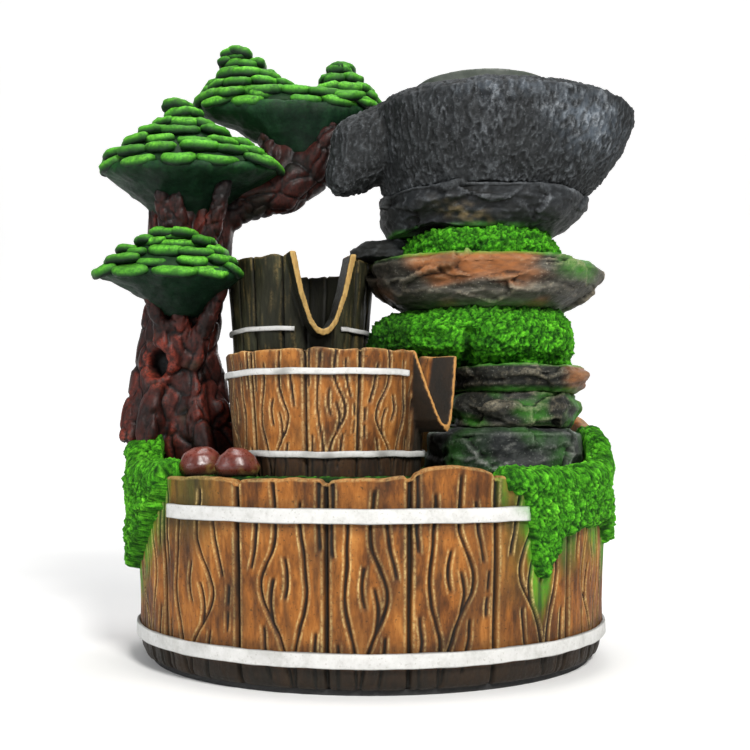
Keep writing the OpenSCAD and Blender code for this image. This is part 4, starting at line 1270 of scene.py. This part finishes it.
def crown_piece(name, nodes, tiers, seed, tile):
    """A foliage pad of leaf cushions in steps, leaning forward. Each tier is (height, reach,
    shift). The lowest has the largest leaves, tipped outwards."""
    rng = np.random.default_rng(seed)
    start_at = np.min([low(node) for node in nodes], 0)
    end_at = np.max([high(node) for node in nodes], 0)
    mid, half = (start_at + end_at) / 2, (end_at - start_at) / 2
    wide, deep, thick = tile
    leaves = []
    for level, (height, reach, shift) in enumerate(tiers):
        a, b = half[0] * reach, half[1] * reach
        z = start_at[2] + height
        grow, droop = (1.18, 0.36) if level == 0 else (1.0, 0.14)
        girth = math.pi * (3 * (a + b) - math.sqrt((3 * a + b) * (a + 3 * b)))
        count = max(1, int(round(girth / (wide * grow * 1.02))))
        start = rng.uniform(0, 2 * math.pi)
        for k in range(count):
            t = start + 2 * math.pi * (k + rng.uniform(-0.16, 0.16)) / count
            size = rng.uniform(0.78, 1.12) * grow
            inset = deep * size * 0.5 + rng.uniform(-0.4, 2.6)
            x = mid[0] + shift[0] + max(a - inset, 0) * math.cos(t)
            y = mid[1] + shift[1] + max(b - inset, 0) * math.sin(t)
            tip = droop + rng.uniform(-0.12, 0.16)
            facing = math.atan2(a * math.sin(t), b * math.cos(t)) if count > 1 else 0.3
            at = np.array([x, y, z + LEAN * (y - mid[1]) + rng.uniform(-1.0, 0.8)])
            full = (deep * size, wide * size, thick * rng.uniform(0.9, 1.15))
            co, bright, dark = leaf_tile(rng, at, facing, full, tip)
            leaves.append((co, CUSHION_FACES, bright, dark, rng.uniform(0.0, 0.4)))
    core, faces = crown_core(mid, half, start_at[2], tiers, deep)
    # The core is painted dark: painted shade in the gaps between the cushions.
    leaves.append((core, faces, np.zeros(len(core)), np.full(len(core), 0.85), 0.6))
    co, tris = joined([leaf[:2] for leaf in leaves])
    ob = make_object(name, co, tris=tris)
    bright = np.concatenate([leaf[2] for leaf in leaves])
    dark = np.concatenate([leaf[3] for leaf in leaves])
    shade = np.concatenate([np.full(len(leaf[0]), leaf[4]) for leaf in leaves])
    push(ob, lambda p, n: 0.35 * noise(p, 3.2, seed + 1) + 0.18 * noise(p, 1.3, seed + 2))
    p = points(ob.data)
    pits = smooth(-noise(p, 1.6, seed + 5) * 1.6 - 0.2) * 0.6
    shade = np.maximum(shade, 0.6 * smooth(noise(p, 12, seed + 7) * 1.2 - 0.15))
    paint(ob, np.maximum(dark, pits), bright, 0, shade)
    hand_in(ob, "leaf", nodes)


def crown_core(mid, half, base_z, tiers, deep):
    """The core that the leaf cushions stand on, painted dark as the shade in the gaps between them.
    """
    t = around(40)
    rows = []
    for height, reach, shift in tiers:
        a, b = (max(half[axis] * reach - deep * 0.6, 1.2) for axis in (0, 1))
        y = mid[1] + shift[1] + b * np.sin(t)
        rows.append(np.stack([mid[0] + shift[0] + a * np.cos(t), y,
                              base_z + height + 0.8 + LEAN * (y - mid[1])], 1))
    rows.insert(0, rows[0] - (0, 0, 2.5))
    return loft_triangles(rows)


def crown_underside(name, nodes, seed, rows):
    """The smooth dish under a pad, in the darker leaf paint as painted shade: rows of (z, x, y,
    half width, half depth).
    """
    t = around(44)
    base, rise = rows[0][0], rows[-1][0] - rows[0][0]
    rings = [np.stack([x + a * np.cos(t), y + b * np.sin(t),
                       z + LEAN * b * np.sin(t) * ((z - base) / rise) ** 2], 1)
             for z, x, y, a, b in rows]
    ob = skinned(name, [loft_triangles(rings)], 0.95, 5)
    push(ob, lambda p, n: 0.9 * noise(p, (9, 9, 12), seed) + 0.3 * noise(p, (3, 3, 6), seed + 1)
         + 0.12 * noise(p, 1.4, seed + 2))
    hollow, ridge = wear_and_crease_shade(ob.data, 2, 0.3)
    p = points(ob.data)
    level = (p[:, 2] - base) / rise
    green = smooth(level * 2.6 - 1.5) * (0.3 + 0.7 * smooth(noise(p, 5, seed + 4) + 0.1))
    paint(ob, 0.6 * hollow, 0.35 * ridge * level + 0.5 * green, 0, 0.6 * (1 - level))
    hand_in(ob, "leaf", nodes, material="leaf_underside_shade")


TOP_PADS = ["foliage_top_left", "foliage_top_right"]
CROWNS = (  # name, nodes, tiers, seed, and a leaf's width, depth and thickness
    ("crown_middle", ["foliage_middle"],
     [(15.5, 1.0, (0, 0)), (19.8, 0.86, (-1, 0)), (24.0, 0.70, (-2, 1)), (28.4, 0.53, (-3, 1)),
      (32.6, 0.37, (-4, 1)), (36.4, 0.22, (-5, 1)), (39.4, 0.11, (-6, 0))], 201, (15.5, 12, 4.4)),
    ("crown_top_left", TOP_PADS[:1],
     [(12.5, 0.92, (0, 0)), (16.8, 0.76, (0, 0)), (21.0, 0.60, (-2, 0)), (25.4, 0.43, (-4, -1)),
      (29.4, 0.26, (-5, -1))], 211, (13.5, 11, 4.4)),
    ("crown_top_right", TOP_PADS[1:],
     [(11.0, 1.0, (0, 0)), (15.2, 0.86, (0, 0)), (19.4, 0.68, (-1, 0)), (24.0, 0.48, (-2, 0))],
     221, (12.5, 9.5, 4.4)),
    ("crown_top_rim", TOP_PADS, [(9.0, 0.97, (0, 0)), (13.0, 0.80, (0, 0))], 225, (14.5, 11, 4.4)),
    ("crown_low", ["foliage_low"],
     [(10.0, 1.0, (0, 0)), (13.8, 0.86, (0, 0)), (17.4, 0.71, (1, 0)), (20.8, 0.55, (2, 0)),
      (24.0, 0.34, (2, 0))], 231, (14.5, 9.5, 4.0)))
UNDERSIDES = (
    ("crown_middle_under", ["foliage_middle"], 241,
     [(168, -75, 8, 12, 11), (175, -76, 7, 14, 13), (181, -77, 5, 18, 16), (186, -77, 3, 25, 21),
      (190, -75.5, 2, 33, 25.5), (193, -74.5, 2, 37, 27.5), (196, -74.5, 2, 35, 26)]),
    ("crown_top_under", TOP_PADS, 243,
     [(203, -29, 17, 11, 9), (210, -31, 17, 17, 12), (216.5, -34, 17, 26, 14.5),
      (221, -37, 17, 35, 16.5), (224, -38, 17, 38, 17), (226.5, -38, 17, 36.5, 16)]),
    ("crown_low_under", ["foliage_low"], 247,
     [(132, -76, -5, 10, 9), (138, -76, -9, 14, 11), (143, -77, -14, 21, 14),
      (147, -78.5, -16.5, 28.5, 15.8), (150, -78.5, -17, 27.5, 15)]))


def make_foliage():
    for crown in CROWNS:
        crown_piece(*crown)
    for underside in UNDERSIDES:
        crown_underside(*underside)


# ---------------------------------------------------------------- rocks and bowl


CHIP_TILT = 0.3
CHIP_LIMIT = 2.2


def chipped(p, size, seed):
    """Flat chips, each tipped its own way, with a step between neighbours."""
    way, tone = cells(p, size, seed)[2:]
    return np.clip((way * (tone - 0.5)).sum(1) * CHIP_TILT, -CHIP_LIMIT, CHIP_LIMIT)


def strata(p, spacing, seed, warp=3.0):
    """Layers of stone: a sawtooth over the height that wavers round the rock."""
    h = p[:, 2] + warp * noise(p, (30, 30, 60), seed) + 1.0 * noise(p, (11, 11, 20), seed + 1)
    s = (h / spacing) % 1
    return np.where(s < 0.86, s / 0.86, (1 - s) / 0.14) - 0.5


ROCKS = {  # material, height of a layer and its step in mm, size of the chips, share of overspray
    "rock_foot": dict(slot="dark_rock", spacing=11.0, step=1.0, chip=(26, 26, 14), spray=0.3),
    "rock_step": dict(slot="ledge_rock", spacing=13.0, step=1.2, chip=(26, 26, 12), spray=0.85),
    "rock_ledge": dict(slot="ledge_rock", spacing=8.0, step=1.3, chip=(26, 26, 9), spray=0.25),
    "rock_shelf": dict(slot="shelf_rock", spacing=11.0, step=1.7, chip=(30, 30, 9), spray=0.3),
    "rock_neck": dict(slot="neck_rock", spacing=16.0, step=1.0, chip=(26, 26, 11), spray=0.0),
    "rock_chock": dict(slot="neck_rock", spacing=7.0, step=0.8, chip=(11, 11, 8), spray=0.0),
    "barrel_pedestal": dict(slot="dark_rock", spacing=14.0, step=1.6, chip=(18, 18, 16),
                            spray=0.15),
    "lid_pebble": dict(slot="dark_rock", spacing=9.0, step=0.3, chip=(8, 8, 6), spray=0.2),
}


def make_rock(node, slot, spacing, step, chip, spray, seed):
    """A layered rock: chipped sides, worn edges and moss paint where it catches."""
    ob = skinned(node + "_stone", [node_shape(node)], 0.85, 2)
    bottom, size = low(node)[2], high(node) - low(node)
    if node == "rock_shelf":
        p = points(ob.data)
        p[:, 0] -= 4 * smooth((26 - p[:, 0]) / 14)
        move_points(ob.data, p)

    def field(p, n):
        side = smooth(1.25 - np.abs(n[:, 2]))
        lumps = 1.5 * noise(p, (17, 17, 15), seed + 4) if size[0] > 30 else 0
        flakes = chipped(p + 3 * noise(p, 14, seed + 2)[:, None], chip, seed + 3)
        fine = 0.4 * noise(p, (6, 6, 3), seed + 5) + 0.25 * noise(p, (2.6, 2.6, 1.8), seed + 6)
        fine += 0.14 * noise(p, 1.3, seed + 7)
        return side * (step * (strata(p, spacing, seed) - 0.25) + flakes + lumps) + fine

    push(ob, field)
    if node == "rock_neck":
        push(ob, lambda p, n: -4.5 * bell(np.hypot((p[:, 0] - 24) / 9, (p[:, 2] - 167) / 4.5), 1.0)
             * (p[:, 1] < -10))
    p, n = points(ob.data), normals(ob.data)
    hollow, ridge = wear_and_crease_shade(ob.data, 2, 0.3)
    level = (p[:, 2] - bottom) / size[2]
    mossy, blend = np.zeros((2, len(p)))
    wobble = 0.5 * noise(p, (14, 14, 7), seed + 10)
    if node == "rock_shelf":
        mossy = np.maximum(smooth((level - 0.9) * 8) * 0.9, smooth((0.16 - level) * 6) * 0.5)
        mossy = np.maximum(mossy, 0.55 * smooth((p[:, 0] - 66) / 10) * smooth((level - 0.45) * 4)
                           * smooth((92 - p[:, 0]) / 10))
        blend = span(p[:, 0] + 14 * wobble, 8, 66, 10)
        blend = blend * smooth((level - 0.30 + 0.4 * wobble) * 3.5)
        blend = np.maximum(blend, 0.6 * smooth(noise(p, (16, 16, 6), seed + 12) * 1.6 - 0.5))
    elif node == "rock_step":
        mossy = 0.6 * smooth(noise(p, (14, 14, 7), seed + 9) * 1.4 + 0.25)
    elif node == "rock_ledge":
        mossy = np.maximum(smooth((level - 0.9) * 8) * 0.7, smooth((0.25 - level) * 4) * 0.6)
        blend = 0.8 * smooth((p[:, 0] - 70) / 8)
    elif node == "rock_neck":
        mossy = 0.5 * smooth((0.16 - level) * 8)
        x = p[:, 0] - 36
        streak = bell(np.hypot(x / 9, (p[:, 2] - 169 + 0.3 * x) / 2.4), 1.0)
        blend = 0.75 * streak * smooth(noise(p, (3, 3, 2), seed + 15) + 0.4)
    elif spray:
        mossy = spray * smooth(noise(p, 14, seed + 9) + 0.2)
    left = smooth((16 - p[:, 0]) / 12) * (node in ("rock_shelf", "rock_neck", "rock_chock"))
    shade = np.maximum(0.75 * smooth(-n[:, 2] - 0.15), 0.8 * left)
    shade = np.maximum(shade, 0.5 * smooth(noise(p, (15, 15, 8), seed + 13) * 1.4 - 0.2))
    worn = ridge * (0.3 + 0.7 * smooth(noise(p, 11, seed + 8) + 0.25))
    flecks = 0.6 if node == "rock_neck" else 0.4
    worn = np.maximum(worn, flecks * smooth(noise(p, (3, 3, 1.6), seed + 14) * 2 - 0.6))
    paint(ob, hollow * 0.9, worn, mossy * (1 - hollow * 0.5), np.clip(shade, 0, 0.85), blend)
    body = "lid" if node == "lid_pebble" else ROOT
    hand_in(ob, SLOT_OF[node], [node], body, slot)


def make_rocks():
    """The stack's rocks, then the two smooth pebbles on the moss."""
    for k, (node, look) in enumerate(ROCKS.items()):
        make_rock(node, seed=301 + 11 * k, **look)
    for k, node in enumerate(("pebble_left", "pebble_right")):
        ob = skinned(node + "_stone", [node_shape(node)], 0.5, 10)
        push(ob, lambda p, n: 0.5 + 0.5 * noise(p, 6, 401 + k) + 0.06 * noise(p, 1.5, 411 + k))
        p, n = points(ob.data), normals(ob.data)
        gold = smooth((p[:, 0] - centre(node)[0]) / 5) * smooth(0.6 - n[:, 2])
        gold *= smooth(noise(p, 2.5, 423) + 0.4)
        # Painted highlight on the pebbles' upward faces.
        top_highlight = smooth(n[:, 2] * 1.4 - 0.2) * 0.4
        shade = smooth((low(node)[2] + 2.5 - p[:, 2]) / 2.5)
        paint(ob, 0, top_highlight, 0, shade, gold * 0.6)
        hand_in(ob, "root_stone", [node])


def make_bowl():
    """The wrinkled stone bowl, left smooth inside where the water stands."""
    node = "stone_bowl"
    ob = skinned("bowl_stone", [node_shape(node)], 0.63, 2)
    middle = centre("led_ring")

    def outside(p):
        rel = p[:, :2] - middle[:2]
        return smooth((np.hypot(rel[:, 0], rel[:, 1]) - 33.5) / 1.5)

    def wrinkles(p):
        """Long folds and short creases, 1 on a crest and 0 between, and a slow swell."""
        warp = p + np.stack([0.7 * noise(p, 4, 431), 0.7 * noise(p, 4, 432), 0 * p[:, 0]], 1)
        broad = 1 - smooth(np.abs(noise(warp, (2.3, 2.3, 7.5), 435)) / 0.42)
        short = 1 - smooth(np.abs(noise(warp, (1.7, 1.7, 4.2), 437)) / 0.45)
        broken = smooth(noise(p, (2.0, 2.0, 3.2), 438) * 1.5 + 0.65)
        return broad * broken, short, noise(p, (5, 5, 9), 436)

    start = points(ob.data)
    fold, crease, tone = wrinkles(start)
    dents = noise(start, (10, 10, 13), 439)
    relief = 0.62 * fold + 0.28 * crease + 0.2 * tone + 0.5 * dents - 0.4
    push(ob, lambda p, n: outside(p) * relief + 0.12 * noise(p, 1.2, 441))
    p, n = points(ob.data), normals(ob.data)
    hollow, ridge = wear_and_crease_shade(ob.data, 1, 0.42)
    patches = smooth(noise(p, (14, 14, 12), 443) * 1.5)
    # A pale bluish patch on the right and a smaller one near the top: frosted paint that is also a
    # painted highlight. The dry brush on the folds is stronger there.
    frost_and_highlight = bell(np.hypot((p[:, 0] - 82) / 14, (p[:, 2] - 203) / 10), 1.0)
    frost_and_highlight = np.maximum(frost_and_highlight, 0.6 * bell(np.hypot((p[:, 0] - 52) / 20, (p[:, 2] - 213) / 4), 1.0))
    left = smooth((46 - p[:, 0]) / 30)
    dry_brush_and_highlight = np.maximum(fold * 0.8, crease * 0.5) * (0.15 + 0.36 * patches + 0.5 * frost_and_highlight)
    dry_brush_and_highlight = dry_brush_and_highlight + ridge * 0.15
    shade = np.maximum.reduce([0.55 * smooth(-n[:, 2] - 0.1), 0.35 * left, 0.35 * (1 - patches)])
    paint(ob, np.maximum(hollow * 0.7, (1 - fold) * 0.35), dry_brush_and_highlight * outside(p), 0,
          shade * (1 - frost_and_highlight), 0.55 * frost_and_highlight * smooth(noise(p, 3, 447) + 0.5))
    hand_in(ob, "bowl_stone", [node])


def make_dish():
    node = "light_dish"
    ob = skinned("dish_cast", [node_shape(node)], 0.45, 1)
    push(ob, lambda p, n: 0.12 * noise(p, 5, 451) + 0.04 * noise(p, 1.3, 453))
    hollow, ridge = wear_and_crease_shade(ob.data, 2, 0.3)
    p = points(ob.data)
    water_line = 0.4 * bell(p[:, 2] - 222, 1.4) * smooth(noise(p, 5, 455) + 0.5)
    paint(ob, hollow * 0.5, np.maximum(ridge * 0.4, water_line))
    hand_in(ob, "dish_glaze", [node], "dish")


# ---------------------------------------------------------------- the nodes left showing


def finish_cad_nodes():
    """Gives each CAD node the material of its slot."""
    for node, slot in SLOT_OF.items():
        ob = frame["nodes"][node]
        if ob.material_slots:
            for place in ob.material_slots:
                place.material = M[slot]
        else:
            ob.data.materials.append(M[slot])


def make_floor():
    """A pale sheet of paper that sweeps up behind the fountain. It glows faintly in front and more
    towards the back: painted light that keeps the backdrop near white.
    """
    n, m = 40, 120
    x = np.linspace(-4, 4, n)
    run = np.linspace(-2.5, 5, m)
    radius, start = 1.2, 1.0
    turn = np.clip((run - start) / radius, 0, math.pi / 2)
    y = np.where(run < start, run, start + radius * np.sin(turn))
    z = radius * (1 - np.cos(turn)) + np.maximum(run - start - radius * math.pi / 2, 0)
    gx, gy = np.meshgrid(x, y, indexing="ij")
    co = np.stack([gx, gy, np.broadcast_to(z, gx.shape)], -1).reshape(-1, 3) / MM
    i, j = grid(n - 1, m - 1)
    corners = [i * m + j, (i + 1) * m + j, (i + 1) * m + j + 1, i * m + j + 1]
    floor = make_object("floor", co, np.stack(corners, -1).reshape(-1, 4))
    mat, tree, shader = new_material("floor_paper", {"Roughness": 0.95,
                                                     "Emission Color": (1, 1, 1, 1)})
    where = add(tree, "TexCoord").outputs["Object"]
    far = add(tree, "SeparateXYZ", {"Vector": where}).outputs["Y"]
    # The glow: painted light, faint in front and rising towards the back.
    tree.links.new(between(tree, far, 0.15, 1.3, 0.05, 0.62), shader.inputs["Emission Strength"])
    tone = wave(tree, where, 300, EVEN, 2.0)
    tree.links.new(ramp(tree, tone, [(0.3, (0.80, 0.80, 0.80)), (0.7, (0.84, 0.84, 0.835))]),
                   shader.inputs["Base Color"])
    floor.data.materials.append(mat)


SLOT_OF = {entry["node"]: entry["material_slot"] for entry in frame["record"]["subparts"]}

make_camera()
make_lights()
make_floor()
M = make_materials()
finish_cad_nodes()
make_tub()
make_straps()
make_middle_barrel()
make_upper_barrel()
make_collars()
make_tub_moss()
make_deck()
make_tree()
make_foliage()
make_rocks()
make_bowl()
make_dish()
